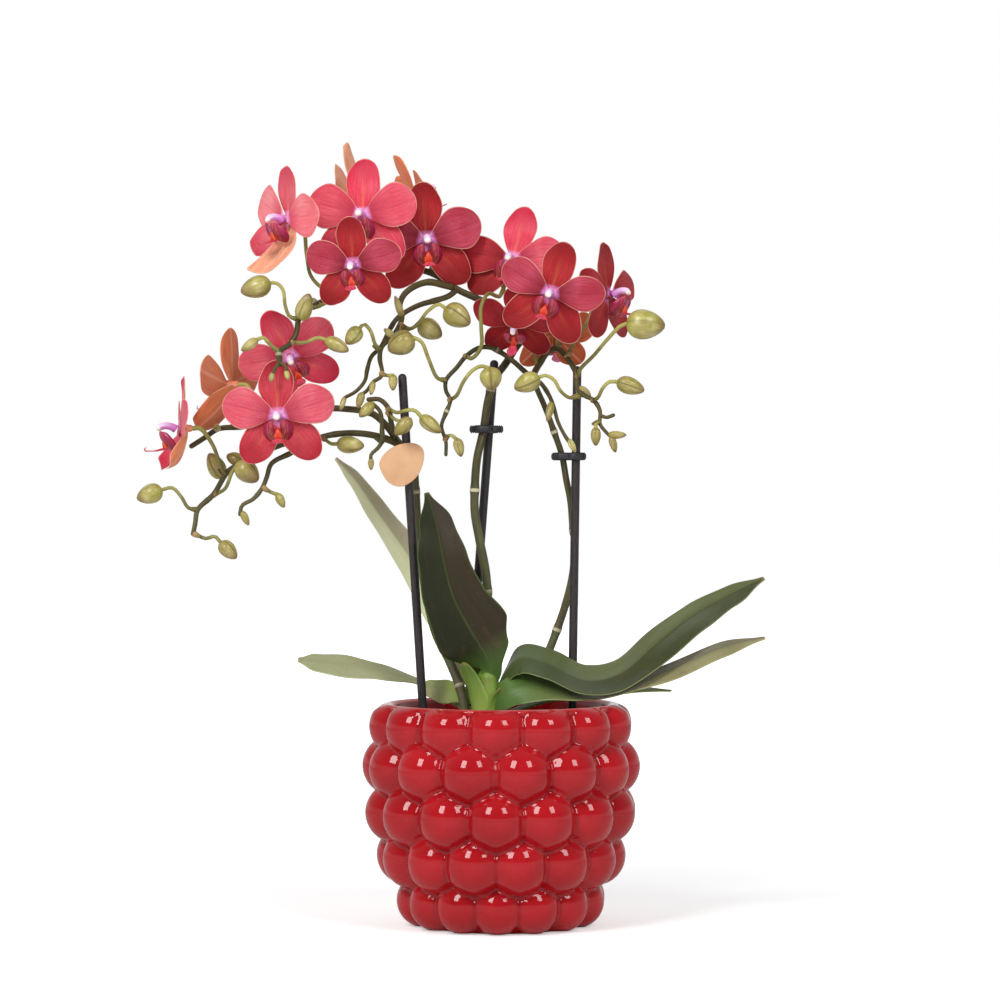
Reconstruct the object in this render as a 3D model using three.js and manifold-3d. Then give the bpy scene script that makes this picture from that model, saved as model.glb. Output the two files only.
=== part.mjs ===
// Potted moth orchid: three staked flower spikes over a fan of leaves, in a glazed pot with a berry relief.
// Millimetres, +Z up, the origin at the centre of the pot's foot, the front of the plant towards -Y.

import * as THREE from 'three';
import { mergeVertices } from 'three/addons/utils/BufferGeometryUtils.js';
import Module from 'manifold-3d';

const wasm = await Module();
wasm.setup();

// Clearance between neighbouring pieces, and the distance under which two vertices are one
const GAP = 0.3;
const WELD = 1e-4;

// Glazed pot: rows of bubbles on a round body, each row half a bubble out of step with the next
const POT = {
  rimHeight: 101,
  rimRadius: 54.5,
  rimEdge: 1.6,
  wall: 5,
  footRadius: 36,
  floor: 6,
  bodyLift: 2,
  bubblesPerRow: 14,
  columnsPerBubble: 4,
  levelsPerRow: 3,
  firstRowTurn: -2.5,
};
// Each row of bubbles from the foot up: height of the centres, radius of their ring, radius of a bubble
const BUBBLE_ROWS = [
  { height: 12, ring: 35.6, bubble: 12.4 },
  { height: 32, ring: 42.8, bubble: 14 },
  { height: 52, ring: 48.4, bubble: 14 },
  { height: 72.5, ring: 49.4, bubble: 14 },
  { height: 91, ring: 46.6, bubble: 14 },
];

// Thin clear grower's pot that stands inside, and the bark that fills it
const NURSERY = {
  top: 95,
  topRadius: 44.5,
  footRadius: 30,
  wall: 1.2,
  rimWidth: 1.6,
  rimDepth: 3,
  sides: 14,
};
const BARK = {
  top: 90,
  sides: 14,
  edgeDrop: 3,
  edgeInset: 6,
  dome: 1,
  chips: 8,
  chipSize: [14, 9, 7],
  chipTilt: 0.5,
  nearest: 21,
  spread: 11,
  lift: 3.5,
  seed: 7,
};

// Short stem that the leaves grow from
const CROWN = { centre: [-6, -1], radius: 6.2, depth: 5.6, foot: 82, top: 117, sides: 12 };
// The crown's outline as shares of its radius and its height
const CROWN_OUTLINE = [[0.75, 0], [0.95, 0.3], [1, 0.7], [0.8, 0.9], [0.35, 1]];

// Stakes, the clips that tie the spikes to them, and the tag that hangs on the left one
const STAKE = { radius: 2, sides: 8, buried: 26 };
const STAKES = {
  left: { top: [-45, -4, 251], low: [-36, 5, 102] },
  middle: { top: [-3, 14, 258], low: [-12, 17, 139] },
  right: { top: [35, 9, 255], low: [33, 9, 121] },
};
const CLIP = { height: 3.6, margin: 2.3, corner: 2, holeSegments: 5 };
const CLIPS = {
  middle: { z: 226, stake: 'middle', stem: [-8, 8], stemRadius: 2.2, bar: 15.5 },
  right: { z: 213.5, stake: 'right', stem: [27.8, 11.1], stemRadius: 2.1, bar: 16 },
};
const TAG = {
  z: 209.5,
  width: 20.5,
  height: 20,
  thickness: 1.2,
  shiftX: -2.6,
  standOff: 1.4,
  collarHeight: 5,
  collarWall: 1.3,
  curveSegments: 3,
};

// Leaves: thickness, and how many cells a leaf has along and across
const LEAF = { thickness: 1.6, along: 9, across: 2, curl: 0.16 };
// Each leaf as stations from its root to its tip: point, direction across the blade, half width, fold
const LEAVES = {
  leaf_upright: [
    { at: [-6, -3, 108], across: [1, 0, 0], half: 3.2, fold: 0.3 },
    { at: [-4.5, -4.5, 116.5], across: [0.98, 0, -0.15], half: 5, fold: 0.4 },
    { at: [-7.5, -5.5, 124], across: [0.97, 0, -0.25], half: 12.5, fold: 0.35 },
    { at: [-13, -6, 133], across: [0.96, 0, -0.28], half: 17.5, fold: 0.3 },
    { at: [-21.5, -7, 149], across: [0.93, 0, -0.36], half: 14.6, fold: 0.3 },
    { at: [-26.3, -7, 167], across: [0.95, 0, -0.3], half: 11.6, fold: 0.35 },
    { at: [-29.5, -5, 183], across: [0.95, 0, -0.3], half: 7.8, fold: 0.4 },
    { at: [-34, -3, 197], across: [0.9, 0, -0.4], half: 1.2, fold: 0.2 },
  ],
  leaf_arching: [
    { at: [-3, -1, 103], across: [0.1, -0.99, 0], half: 3, fold: 0.3 },
    { at: [1.5, -2.5, 113.5], across: [0.1, -0.93, -0.3], half: 6.8, fold: 0.3 },
    { at: [9, -5, 121.5], across: [0.05, -0.87, -0.5], half: 12.5, fold: 0.2 },
    { at: [22, -8, 118.5], across: [0, -0.9, -0.42], half: 14.5, fold: 0.12 },
    { at: [38, -10, 111.5], across: [0, -0.92, -0.39], half: 15, fold: 0.12 },
    { at: [54, -10, 114.5], across: [0.1, -0.9, -0.42], half: 15, fold: 0.2 },
    { at: [71, -8, 129], across: [0.3, -0.8, -0.52], half: 13, fold: 0.35 },
    { at: [88, -6, 142], across: [0.3, -0.75, -0.6], half: 10, fold: 0.4 },
    { at: [105, -4, 151], across: [0.3, -0.75, -0.6], half: 7, fold: 0.3 },
    { at: [120, -2, 158], across: [0.3, -0.75, -0.6], half: 1.2, fold: 0.2 },
  ],
  leaf_right_front: [
    { at: [-4, -5, 97], across: [0.3, -0.7, -0.6], half: 3.2, fold: 0.2 },
    { at: [2, -11.8, 104], across: [0.2, -0.5, -0.84], half: 5.4, fold: 0.2 },
    { at: [12, -14, 107.5], across: [0, -0.68, -0.73], half: 7.2, fold: 0.2 },
    { at: [28, -14, 106], across: [0, -0.87, -0.48], half: 7.5, fold: 0.1 },
    { at: [42, -13, 105.2], across: [0, -0.96, -0.28], half: 7.5, fold: 0.1 },
    { at: [56, -13, 108.5], across: [0, -0.95, -0.3], half: 7.5, fold: 0.15 },
    { at: [78, -12, 116.5], across: [0.1, -0.88, -0.45], half: 8, fold: 0.2 },
    { at: [100, -10, 126], across: [0.15, -0.86, -0.48], half: 6.5, fold: 0.2 },
    { at: [120, -8, 131], across: [0.15, -0.86, -0.48], half: 1.2, fold: 0.1 },
  ],
  leaf_right_low: [
    { at: [-3, 1, 95], across: [0, -1, 0], half: 2.2, fold: 0.2 },
    { at: [7, 0.5, 98], across: [0, -0.98, -0.2], half: 3.5, fold: 0.2 },
    { at: [18, 0, 102], across: [0, -0.98, -0.2], half: 4.8, fold: 0.2 },
    { at: [33, 0, 104.3], across: [0, -0.98, -0.2], half: 5, fold: 0.15 },
    { at: [48, 0, 105.5], across: [0, -0.98, -0.2], half: 5, fold: 0.15 },
    { at: [64, 0, 107], across: [0, -0.98, -0.2], half: 4, fold: 0.15 },
    { at: [78, 0, 106.5], across: [0, -0.98, -0.2], half: 0.9, fold: 0.1 },
  ],
  leaf_back_left: [
    { at: [-9, 0, 103.5], across: [0.2, 0.2, 0.95], half: 2, fold: 0.1 },
    { at: [-12.5, 7.5, 108], across: [0.2, 0.2, 0.95], half: 2.2, fold: 0.1 },
    { at: [-18.5, 14, 115], across: [0.2, 0.1, 0.97], half: 3.4, fold: 0.15 },
    { at: [-22.5, 21, 128], across: [0.6, -0.1, 0.78], half: 6, fold: 0.25 },
    { at: [-31.5, 26, 147], across: [0.83, -0.2, 0.52], half: 8.2, fold: 0.3 },
    { at: [-43.5, 29, 168], across: [0.83, -0.2, 0.52], half: 7.5, fold: 0.35 },
    { at: [-57, 30, 187], across: [0.78, -0.2, 0.6], half: 5.5, fold: 0.4 },
    { at: [-68, 30, 203], across: [0.75, -0.2, 0.63], half: 3.5, fold: 0.4 },
    { at: [-77, 30, 213], across: [0.75, -0.2, 0.63], half: 0.9, fold: 0.2 },
  ],
  leaf_short_back: [
    { at: [-9, -0.5, 99], across: [0.1, 0.1, 0.99], half: 1.8, fold: 0.1 },
    { at: [-12.5, 7, 101.5], across: [0.2, 0.1, 0.97], half: 2.2, fold: 0.1 },
    { at: [-18.5, 13.5, 104], across: [-0.1, 0.35, 0.93], half: 4.2, fold: 0.1 },
    { at: [-26, 18, 105], across: [-0.1, 0.4, 0.91], half: 5.8, fold: 0.15 },
    { at: [-33, 20, 106.5], across: [-0.1, 0.4, 0.91], half: 4.4, fold: 0.12 },
    { at: [-38, 20.5, 107.5], across: [-0.1, 0.4, 0.91], half: 1.6, fold: 0.1 },
  ],
  leaf_left_low: [
    { at: [-9, -1, 94], across: [0.1, 0.1, 0.99], half: 1.7, fold: 0.1 },
    { at: [-12.5, 8, 96], across: [0.2, 0.1, 0.97], half: 1.8, fold: 0.1 },
    { at: [-18, 16, 98.8], across: [0.2, 0.1, 0.97], half: 1.8, fold: 0.1 },
    { at: [-26, 26, 103], across: [0.5, 0.6, 0.6], half: 2.4, fold: 0.2 },
    { at: [-38, 30, 109], across: [0.3, 0.9, 0.3], half: 2.8, fold: 0.2 },
    { at: [-56, 27, 113.5], across: [0.12, 0.9, 0.42], half: 7.5, fold: 0.15 },
    { at: [-72, 24, 116], across: [0, 0.9, 0.43], half: 11, fold: 0.12 },
    { at: [-86, 22, 118], across: [0, 0.9, 0.43], half: 8.5, fold: 0.12 },
    { at: [-94, 21, 119.5], across: [0, 0.92, 0.38], half: 2.6, fold: 0.1 },
  ],
};

// Flower: every tepal as its angle from the flower's right, length, width and how its length bends back
const FLOWER = {
  thickness: 0.8,
  rootRadius: 0.5,
  neckLength: 6,
  neckRadius: 1.5,
  throatRadius: 2.4,
  throatFront: -0.7,
  neckSides: 5,
  along: 3,
  across: 2,
  petal: {
    length: 25, width: 18, widest: 0.66, fullness: 0.7, root: 0.12, bend: 0.08, cup: 0.1, round: 0.08,
  },
  sepal: {
    length: 25, width: 15.5, widest: 0.58, fullness: 0.72, root: 0.16, bend: 0, cup: 0.14, round: 0.09,
  },
};
// Share of the half wave of a tepal's outline that is run through at the tip, so the tip stays blunt
const TIP_SHARE = 0.85;
const PETAL_ANGLES = [163, 17];
const UPPER_SEPAL = { angle: 90, setBack: 2 };
// The two lower sepals stand wide on a flower seen from the front, or swing forward under its lip
const LOWER_SEPALS = {
  wide: { angles: [228, 312], setBacks: [2, 3.2], bends: [0.02, 0.02] },
  forward: { angles: [226, 314], setBacks: [2, 3.2], bends: [-0.38, -0.38] },
  folded: { angles: [217, 268], setBacks: [2, 3.2], bends: [-0.3, -0.7] },
};
// Lip: the column with its cap over one three-lobed blade, given as half widths and lifts of its edges
const LIP = {
  thickness: 0.8,
  column: { route: [[0, -1.9, -0.2], [0, -5, 1.4], [0, -9, 1.2]], radii: [1.9, 2.2], sides: 4 },
  root: [0, -1.9, -1.6],
  forward: 15,
  drop: 9,
  halfWidths: [1.2, 6, 2.4, 3, 0.5],
  lifts: [0.4, 6.5, 2, 0, 0],
};

// Flowers: centre, turn about the vertical, tilt up, roll, size, the spike and the route of the stalk;
// where they differ, how broad the petals are and their angles
const BLOOMS = {
  '01': { at: [-98, -6, 321], turn: -52, tilt: -4, roll: -4, size: 1, on: 'middle', lower: 'folded',
    stalk: [[-75, 3, 288], [-81, 6, 290], [-87, 7, 296], [-89, 8, 305]] },
  '02': { at: [-63, -8, 322.5], turn: -8, tilt: 0, roll: 0, size: 1.05, on: 'middle', breadth: 1.1,
    stalk: [[-56, 10, 300], [-56, 11, 306], [-58, 8, 314]] },
  '03': { at: [-66, -36, 298], turn: -6, tilt: -10, roll: 2, size: 0.9, on: 'middle',
    stalk: [[-87, -12, 280], [-82, -16, 281], [-75, -20, 285]] },
  '04': { at: [-34, 0, 312], turn: 4, tilt: -5, roll: 4, size: 1.07, on: 'middle', breadth: 1.05,
    stalk: [[-33, 9, 298], [-32, 15, 302]] },
  '05': { at: [5, 4, 303.5], turn: -12, tilt: 0, roll: -14, size: 1, on: 'right', petals: [184, 18],
    stalk: [[-16, 0, 259], [-13, -5, 258], [-9, -8, 263], [-9, -11, 272], [-9, -12, 281], [-6, -8, 287],
      [-2, 0, 286.5], [0, 11, 288], [3, 14, 296]] },
  '06': { at: [22, -24, 286], turn: -6, tilt: -6, roll: -17, size: 1, on: 'middle', breadth: 0.92,
    stalk: [[11, 16, 270], [17, 13, 276], [26, 8, 284], [28, -4, 290]] },
  '07': { at: [50, -2, 287], turn: 56, tilt: 4, roll: 2, size: 0.98, on: 'right', breadth: 0.85,
    stalk: [[30, 8, 259], [35, 10, 268], [41, 10, 278]] },
  '08': { at: [7, -2, 274], turn: -14, tilt: -34, roll: -8, size: 0.86, on: 'right',
    stalk: [[17, 13, 255], [15, 14, 262], [12, 11, 271]] },
  '09': { at: [-96, 2, 258.5], turn: 4, tilt: -16, roll: 25, size: 0.98, on: 'middle',
    stalk: [[-83, -7, 282], [-86, 2, 285], [-91, 12, 281], [-95, 15, 270]] },
  '10': { at: [-100, -26, 231], turn: 0, tilt: -4, roll: 4, size: 1.05, on: 'left',
    stalk: [[-94, 4, 232], [-96, -4, 231]] },
  '11': { at: [-125.3, 11, 246.3], turn: -120, tilt: 0, roll: -4, size: 1.05, on: 'left', lower: 'forward',
    stalk: [[-118, 4, 227], [-116, 5, 236], [-114.5, 5, 243]] },
  '12': { at: [-145.5, -10, 226], turn: -80, tilt: 0, roll: 0, size: 0.98, on: 'left', lower: 'forward',
    stalk: [[-126, -1, 205], [-128, -6, 211], [-131, -9, 219]] },
  '13': { at: [-69, 26, 336], turn: -110, tilt: -10, roll: 0, size: 0.95, on: 'middle',
    stalk: [[-60, 10, 299], [-58, 14, 310], [-56, 22, 326]] },
  '14': { at: [-38.5, 34, 335.5], turn: 108, tilt: 28, roll: 0, size: 0.9, on: 'middle',
    stalk: [[-41, 11, 300], [-46, 20, 308], [-54, 30, 323]] },
  '15': { at: [25, 30, 270], turn: 165, tilt: -22, roll: 0, size: 0.85, on: 'right',
    stalk: [[26, 12, 263], [26, 16, 267]] },
  '16': { at: [12, 34, 308], turn: 100, tilt: 4, roll: 0, size: 0.9, on: 'middle',
    stalk: [[8, 13, 277], [4, 19, 284], [0, 28, 298]] },
};

// Spikes: each stem as a route with its radius at both ends, each bud as its stalk, tip and width,
// or as its root, tip and width where it sits on the stem itself
const STEM = { leaderSides: 4, branchSides: 4, stalkSides: 3, stalkRadius: 0.95, approach: 3 };
const BUD = { sides: 5, sink: 0.6, profile: [[0, 0], [0.46, 0.28], [0.44, 0.66], [0, 1]] };
const SPIKES = {
  left: {
    stems: [
      { radii: [2.2, 1.2], route: [[-16, 3, 84], [-16.5, 4, 97], [-19, 7, 108], [-24, 12, 120],
        [-30, 14, 132], [-35, 15, 153], [-38, 14, 176], [-39, 11, 196], [-41, 8, 213], [-47, 6, 220],
        [-52, 3, 227], [-59, 0, 233], [-71, -2, 235], [-82, 0, 235], [-94, 4, 232], [-106, 6, 230],
        [-118, 4, 227], [-129, 2, 226], [-135, 0, 222], [-141, -2, 218]] },
      { radii: [1.7, 0.9], route: [[-43, 7, 216], [-49, 4, 220], [-58, 1, 223], [-68, -2, 224],
        [-78, -4, 223], [-87, -6, 220], [-95, -8, 215], [-104, -10, 210], [-106, -11, 204],
        [-108, -12, 199], [-112, -13, 194], [-117, -14, 191], [-118, -14, 187]] },
      { radii: [1.5, 1.1], route: [[-85, -5, 221], [-96, -1, 220], [-107, 1, 216], [-116, 1, 211],
        [-124, 0, 207], [-131, -2, 196], [-138, -4, 189], [-139, -5, 183], [-140, -5, 178]] },
      { radii: [1.3, 1.1], route: [[-47, 6, 220], [-49, 1, 224], [-50, -5, 229], [-51, -9, 235],
        [-55, -10, 239], [-60, -10, 239]] },
      { radii: [1.2, 0.9], route: [[-57, 1, 222], [-54, -4, 220], [-54, -8, 225], [-54, -10, 230],
        [-55, -11, 234], [-58, -12, 237]] },
      { radii: [1, 0.8], route: [[-54, -4, 220], [-56, -6, 217], [-59, -7, 214], [-59, -7, 211]] },
    ],
    buds: [
      { stalk: [[-138, -4, 189], [-142, -7, 190], [-145, -9, 195], [-149, -10, 199], [-154, -10, 198]],
        tip: [-165, -10, 194], width: 8.6 },
      { stalk: [[-139, -5, 178], [-134, -6, 176], [-130, -7, 177], [-127, -8, 174]],
        tip: [-120, -8, 167], width: 7 },
      { stalk: [[-130, -2, 196], [-125, -7, 199], [-122, -9, 206], [-119, -10, 210]],
        tip: [-110, -12, 202], width: 9.8 },
      { stalk: [[-124, 0, 207], [-125, 7, 206], [-128, 9, 204]], tip: [-134, 10, 215], width: 8.2 },
      { stalk: [[-116, 1, 211], [-118, 7, 211], [-119, 9, 211]], tip: [-126, 10, 214], width: 6.2 },
      { stalk: [[-107, -12, 199], [-104, -13, 197], [-101, -13, 196]], tip: [-98, -13, 190], width: 4.2 },
      { root: [-117, -14, 188], tip: [-114, -14, 182], width: 3.4 },
      { root: [-129, 1, 226], tip: [-130, -6, 227], width: 3.6 },
      { stalk: [[-81, -4, 222], [-77, -7, 219], [-74, -8, 219]], tip: [-62, -8, 218], width: 7.6 },
      { root: [-58, -12, 237], tip: [-64, -14, 231], width: 5.2 },
      { root: [-59, -7, 212], tip: [-59, -7, 207], width: 2.8 },
      { stalk: [[-51, -8, 233], [-48, -12, 230], [-44, -13, 229], [-41, -13, 230]],
        tip: [-48, -14, 223], width: 6.4 },
      { stalk: [[-51, -9, 235], [-47, -13, 233], [-43, -14, 234], [-39, -14, 234], [-36, -14, 231]],
        tip: [-27, -14, 224], width: 6.4 },
    ],
  },
  middle: {
    stems: [
      { radii: [2.3, 1.2], route: [[-7, 9, 84], [-7, 9, 97], [-7, 10, 107], [-6, 12, 125],
        [-6, 12, 143], [-7, 10, 160], [-10, 8, 176], [-12, 7, 188], [-12, 7, 199], [-11, 7, 212],
        [-8, 8, 226], [-6, 9, 239], [-3, 9, 249], [2, 11, 256], [7, 15, 264], [11, 16, 270],
        [8, 13, 277], [0, 10, 281], [-9, 8, 285], [-20, 7, 290], [-27, 8, 295], [-33, 9, 298],
        [-41, 11, 300], [-49, 11, 301], [-60, 10, 299], [-69, 8, 294], [-75, 3, 288], [-81, -4, 284],
        [-87, -12, 280], [-91, -19, 275], [-92, -24, 268], [-95, -27, 263], [-99, -29, 260],
        [-99, -30, 254]] },
      { radii: [0.9, 0.8], route: [[-99, -30, 255], [-101, -31, 252], [-102, -31, 249]] },
      { radii: [0.8, 0.8], route: [[-99, -30, 255], [-96, -31, 253], [-96, -31, 250]] },
      { radii: [1.7, 0.8], route: [[-22, 7, 291], [-27, 4, 292], [-33, 1, 293], [-39, -2, 291],
        [-44, -4, 287], [-46, -5, 282], [-45, -6, 276], [-47, -7, 271], [-50, -7, 267], [-54, -8, 263],
        [-55, -8, 258], [-54, -8, 250], [-58, -8, 247], [-61, -7, 243], [-64, -7, 241]] },
      { radii: [1.4, 0.8], route: [[-20, 7, 290], [-24, 8, 287], [-30, 8, 285], [-37, 7, 283],
        [-43, 6, 280], [-48, 4, 276], [-51, 2, 271], [-55, 0, 263], [-59, -1, 259], [-61, -1, 253],
        [-62, -1, 248], [-66, -3, 243], [-71, -6, 240]] },
    ],
    buds: [
      { stalk: [[-91, -19, 275], [-95, -21, 276], [-97, -22, 281], [-98, -22, 288], [-101, -22, 291],
        [-104, -22, 291]], tip: [-117, -22, 287], width: 9.6 },
      { root: [-90, -20, 275], tip: [-86, -25, 286], width: 7.6 },
      { stalk: [[-99, -29, 260], [-102, -31, 262], [-106, -32, 266], [-109, -32, 265]],
        tip: [-116, -32, 260], width: 4.6 },
      { stalk: [[-94, -26, 264], [-87, -30, 264], [-82, -31, 266], [-78, -31, 265]],
        tip: [-68, -31, 260], width: 6.2 },
      { stalk: [[-55, -8, 262], [-57, -12, 264], [-59, -13, 270], [-62, -13, 273], [-64, -13, 271]],
        tip: [-70, -13, 264], width: 7.2 },
      { root: [-45, -6, 277], tip: [-48, -11, 286], width: 3.4 },
      { root: [-49, -7, 268], tip: [-53, -10, 271], width: 3.4 },
      { stalk: [[-45, -7, 273], [-41, -10, 271], [-37, -12, 274], [-33, -13, 279], [-28, -13, 282],
        [-25, -13, 280]], tip: [-14, -13, 273], width: 10.6 },
      { stalk: [[-46, -7, 272], [-43, -4, 271], [-40, -2, 272], [-37, -1, 274]],
        tip: [-27, -1, 268], width: 9.2 },
      { stalk: [[-54, -8, 251], [-52, -9, 250], [-49, -9, 250]], tip: [-49, -9, 243], width: 4.2 },
      { root: [-63, -7, 242], tip: [-65, -8, 235], width: 3.8 },
      { root: [-58, -8, 247], tip: [-59, -10, 241], width: 3 },
      { root: [-71, -6, 240], tip: [-73, -8, 234], width: 2.6 },
      { root: [-102, -31, 250], tip: [-103, -31, 246], width: 2.6 },
      { root: [-96, -31, 251], tip: [-95, -31, 247], width: 2.6 },
    ],
  },
  right: {
    stems: [
      { radii: [2.2, 0.8], route: [[-1, 8, 84], [-1, 8, 97], [4, 12, 102], [12, 16, 108], [19, 19, 117],
        [23, 19, 126], [26, 19, 134], [30, 18, 146], [33, 17, 159], [34, 17, 172], [33, 16, 182],
        [32, 15, 193], [30, 13, 203], [28, 11, 214], [25, 10, 223], [21, 9, 234], [18, 8, 241],
        [14, 7, 249], [9, 6, 254], [3, 5, 259], [-4, 4, 263], [-10, 2, 263], [-16, 0, 259],
        [-20, -2, 254], [-25, -4, 248], [-25, -5, 243], [-23, -6, 239], [-25, -7, 233], [-27, -8, 227],
        [-25, -8, 220], [-25, -8, 214]] },
      { radii: [1.6, 0.8], route: [[14, 7, 249], [17, 13, 255], [22, 14, 262], [26, 12, 263],
        [30, 8, 259], [34, 3, 252], [35, -1, 244], [38, -3, 241], [42, -4, 239], [45, -5, 234],
        [45, -6, 228], [48, -7, 224], [50, -7, 222]] },
      { radii: [1.1, 0.8], route: [[15, 7, 248], [18, 1, 247], [22, -2, 241], [24, -2, 236],
        [26, -2, 229], [29, -2, 223], [31, -2, 220]] },
      { radii: [0.8, 0.9], route: [[45, -5, 232], [48, -7, 231], [51, -8, 232]] },
    ],
    buds: [
      { stalk: [[-25, -4, 248], [-29, -9, 249], [-33, -13, 258], [-36, -15, 265], [-40, -15, 267]],
        tip: [-51, -15, 261], width: 10.8 },
      { stalk: [[-23, -6, 239], [-20, -10, 241], [-17, -12, 247], [-13, -13, 252], [-9, -13, 254],
        [-5, -13, 253]], tip: [-4, -13, 243], width: 9.6 },
      { stalk: [[-25, -8, 221], [-23, -10, 223], [-20, -10, 221]], tip: [-18, -10, 213], width: 4.8 },
      { stalk: [[36, -2, 241], [31, -6, 240], [27, -8, 243], [24, -9, 248], [20, -9, 250], [17, -9, 249]],
        tip: [6, -9, 244], width: 8.8 },
      { stalk: [[35, 1, 250], [36, -2, 253], [42, -7, 259], [48, -12, 266], [54, -17, 272], [57, -18, 273]],
        tip: [74, -19, 272], width: 13 },
      { stalk: [[42, -4, 239], [44, -8, 240], [46, -10, 244], [49, -10, 247], [53, -10, 247]],
        tip: [65, -10, 243], width: 7.6 },
      { stalk: [[45, -6, 229], [43, -8, 228], [43, -8, 226]], tip: [43, -8, 218], width: 4.6 },
      { root: [49, -7, 223], tip: [57, -8, 223], width: 3.8 },
      { root: [50, -7, 222], tip: [52, -7, 215], width: 3.6 },
      { root: [35, -1, 244], tip: [41, 4, 241], width: 5 },
      { root: [23, -2, 238], tip: [21, -6, 229], width: 3.6 },
      { root: [31, -2, 221], tip: [34, -2, 215], width: 3 },
    ],
  },
};

// Finishes
const FINISH = {
  glaze: { color: '#b5242a', roughness: 0.15 },
  clearPlastic: { color: '#c9cdc9', roughness: 0.25 },
  bark: { color: '#59412f', roughness: 0.95 },
  crown: { color: '#83973a', roughness: 0.45 },
  leaf: { color: '#4d5b2c', roughness: 0.4 },
  stem: { color: '#5f6a33', roughness: 0.5 },
  petal: { color: '#dc4a58', roughness: 0.6 },
  lip: { color: '#8f1f45', roughness: 0.5 },
  stake: { color: '#37322f', roughness: 0.7 },
  clip: { color: '#3b3a3f', roughness: 0.45 },
  tag: { color: '#ebc19d', roughness: 0.7 },
};

const orchid = new THREE.Group();

// Solids

// A closed mesh with merged vertices, less the triangles that a pole squeezes to a line
function welded(geometry) {
  const bare = geometry.clone();
  bare.deleteAttribute('normal');
  bare.deleteAttribute('uv');
  const merged = mergeVertices(bare, WELD);
  const corners = merged.index.array;
  const kept = [];
  for (let i = 0; i < corners.length; i += 3) {
    const [a, b, c] = [corners[i], corners[i + 1], corners[i + 2]];
    if (a !== b && b !== c && c !== a) kept.push(a, b, c);
  }
  merged.setIndex(kept);
  return merged;
}

function solidOf(geometry) {
  const mesh = welded(geometry);
  return new wasm.Manifold(new wasm.Mesh({
    numProp: 3,
    vertProperties: new Float32Array(mesh.attributes.position.array),
    triVerts: new Uint32Array(mesh.index.array),
  }));
}

function fused(solids) {
  return solids.reduce((whole, next) => whole.add(next));
}

function addNode(name, solid, finish) {
  const { vertProperties, triVerts } = solid.getMesh();
  const geometry = new THREE.BufferGeometry();
  geometry.setAttribute('position', new THREE.BufferAttribute(vertProperties, 3));
  geometry.setIndex(new THREE.BufferAttribute(triVerts, 1));
  geometry.computeVertexNormals();
  const material = new THREE.MeshStandardMaterial({ metalness: 0, ...finish });
  const mesh = new THREE.Mesh(geometry, material);
  mesh.name = name;
  orchid.add(mesh);
}

function geometryFrom(points, triangles) {
  const geometry = new THREE.BufferGeometry().setFromPoints(points);
  geometry.setIndex(triangles);
  return geometry;
}

// A thin blade: middle(u, v) is its middle face, u from root to tip and v from -1 to 1 across.
// Both faces split every cell along the same diagonal, so they stay apart however the blade waves.
function bladeGeometry(middle, along, across, thickness) {
  const step = 1e-3;
  const faces = [[], []];
  for (let i = 0; i <= along; i += 1) {
    for (let j = 0; j <= across; j += 1) {
      const u = i / along;
      const v = (2 * j) / across - 1;
      const here = middle(u, v);
      const lengthwise = middle(u + step, v).sub(middle(u - step, v));
      const crosswise = middle(u, v + step).sub(middle(u, v - step));
      const normal = lengthwise.cross(crosswise).setLength(thickness / 2);
      faces[0].push(here.clone().add(normal));
      faces[1].push(here.clone().sub(normal));
    }
  }
  const row = across + 1;
  const other = faces[0].length;
  const triangles = [];
  for (let i = 0; i < along; i += 1) {
    for (let j = 0; j < across; j += 1) {
      const a = i * row + j;
      const [b, c, d] = [a + row, a + row + 1, a + 1];
      triangles.push(a, b, c, a, c, d);
      triangles.push(other + a, other + c, other + b, other + a, other + d, other + c);
    }
  }
  const edge = [];
  for (let j = 0; j < across; j += 1) edge.push(j);
  for (let i = 0; i < along; i += 1) edge.push(i * row + across);
  for (let j = across; j > 0; j -= 1) edge.push(along * row + j);
  for (let i = along; i > 0; i -= 1) edge.push(i * row);
  edge.forEach((a, k) => {
    const b = edge[(k + 1) % edge.length];
    triangles.push(a, b, other + b, a, other + b, other + a);
  });
  return geometryFrom([...faces[0], ...faces[1]], triangles);
}

// A round stem with a ring of corners at every point of its route, its radius changing evenly along it
function stemGeometry(route, startRadius, endRadius, sides) {
  const corners = route.map((point) => new THREE.Vector3(...point));
  const curve = new THREE.CatmullRomCurve3(corners, false, 'centripetal');
  const last = route.length - 1;
  const tangents = route.map((_, i) => curve.getTangent(i / last));
  const upright = Math.abs(tangents[0].z) > 0.9 ? new THREE.Vector3(1, 0, 0) : new THREE.Vector3(0, 0, 1);
  const normal = upright.cross(tangents[0]).normalize();
  const points = [];
  const triangles = [];
  route.forEach((point, i) => {
    if (i > 0) {
      const bend = new THREE.Quaternion().setFromUnitVectors(tangents[i - 1], tangents[i]);
      normal.applyQuaternion(bend);
    }
    const binormal = tangents[i].clone().cross(normal);
    const radius = THREE.MathUtils.lerp(startRadius, endRadius, i / last);
    for (let side = 0; side < sides; side += 1) {
      const angle = (2 * Math.PI * side) / sides;
      points.push(new THREE.Vector3(...point)
        .addScaledVector(normal, radius * Math.cos(angle))
        .addScaledVector(binormal, radius * Math.sin(angle)));
    }
  });
  for (let i = 0; i < last; i += 1) {
    for (let side = 0; side < sides; side += 1) {
      const a = i * sides + side;
      const b = i * sides + ((side + 1) % sides);
      triangles.push(a, b, b + sides, a, b + sides, a + sides);
    }
  }
  for (let side = 1; side < sides - 1; side += 1) {
    triangles.push(0, side + 1, side);
    triangles.push(last * sides, last * sides + side, last * sides + side + 1);
  }
  return geometryFrom(points, triangles);
}

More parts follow.
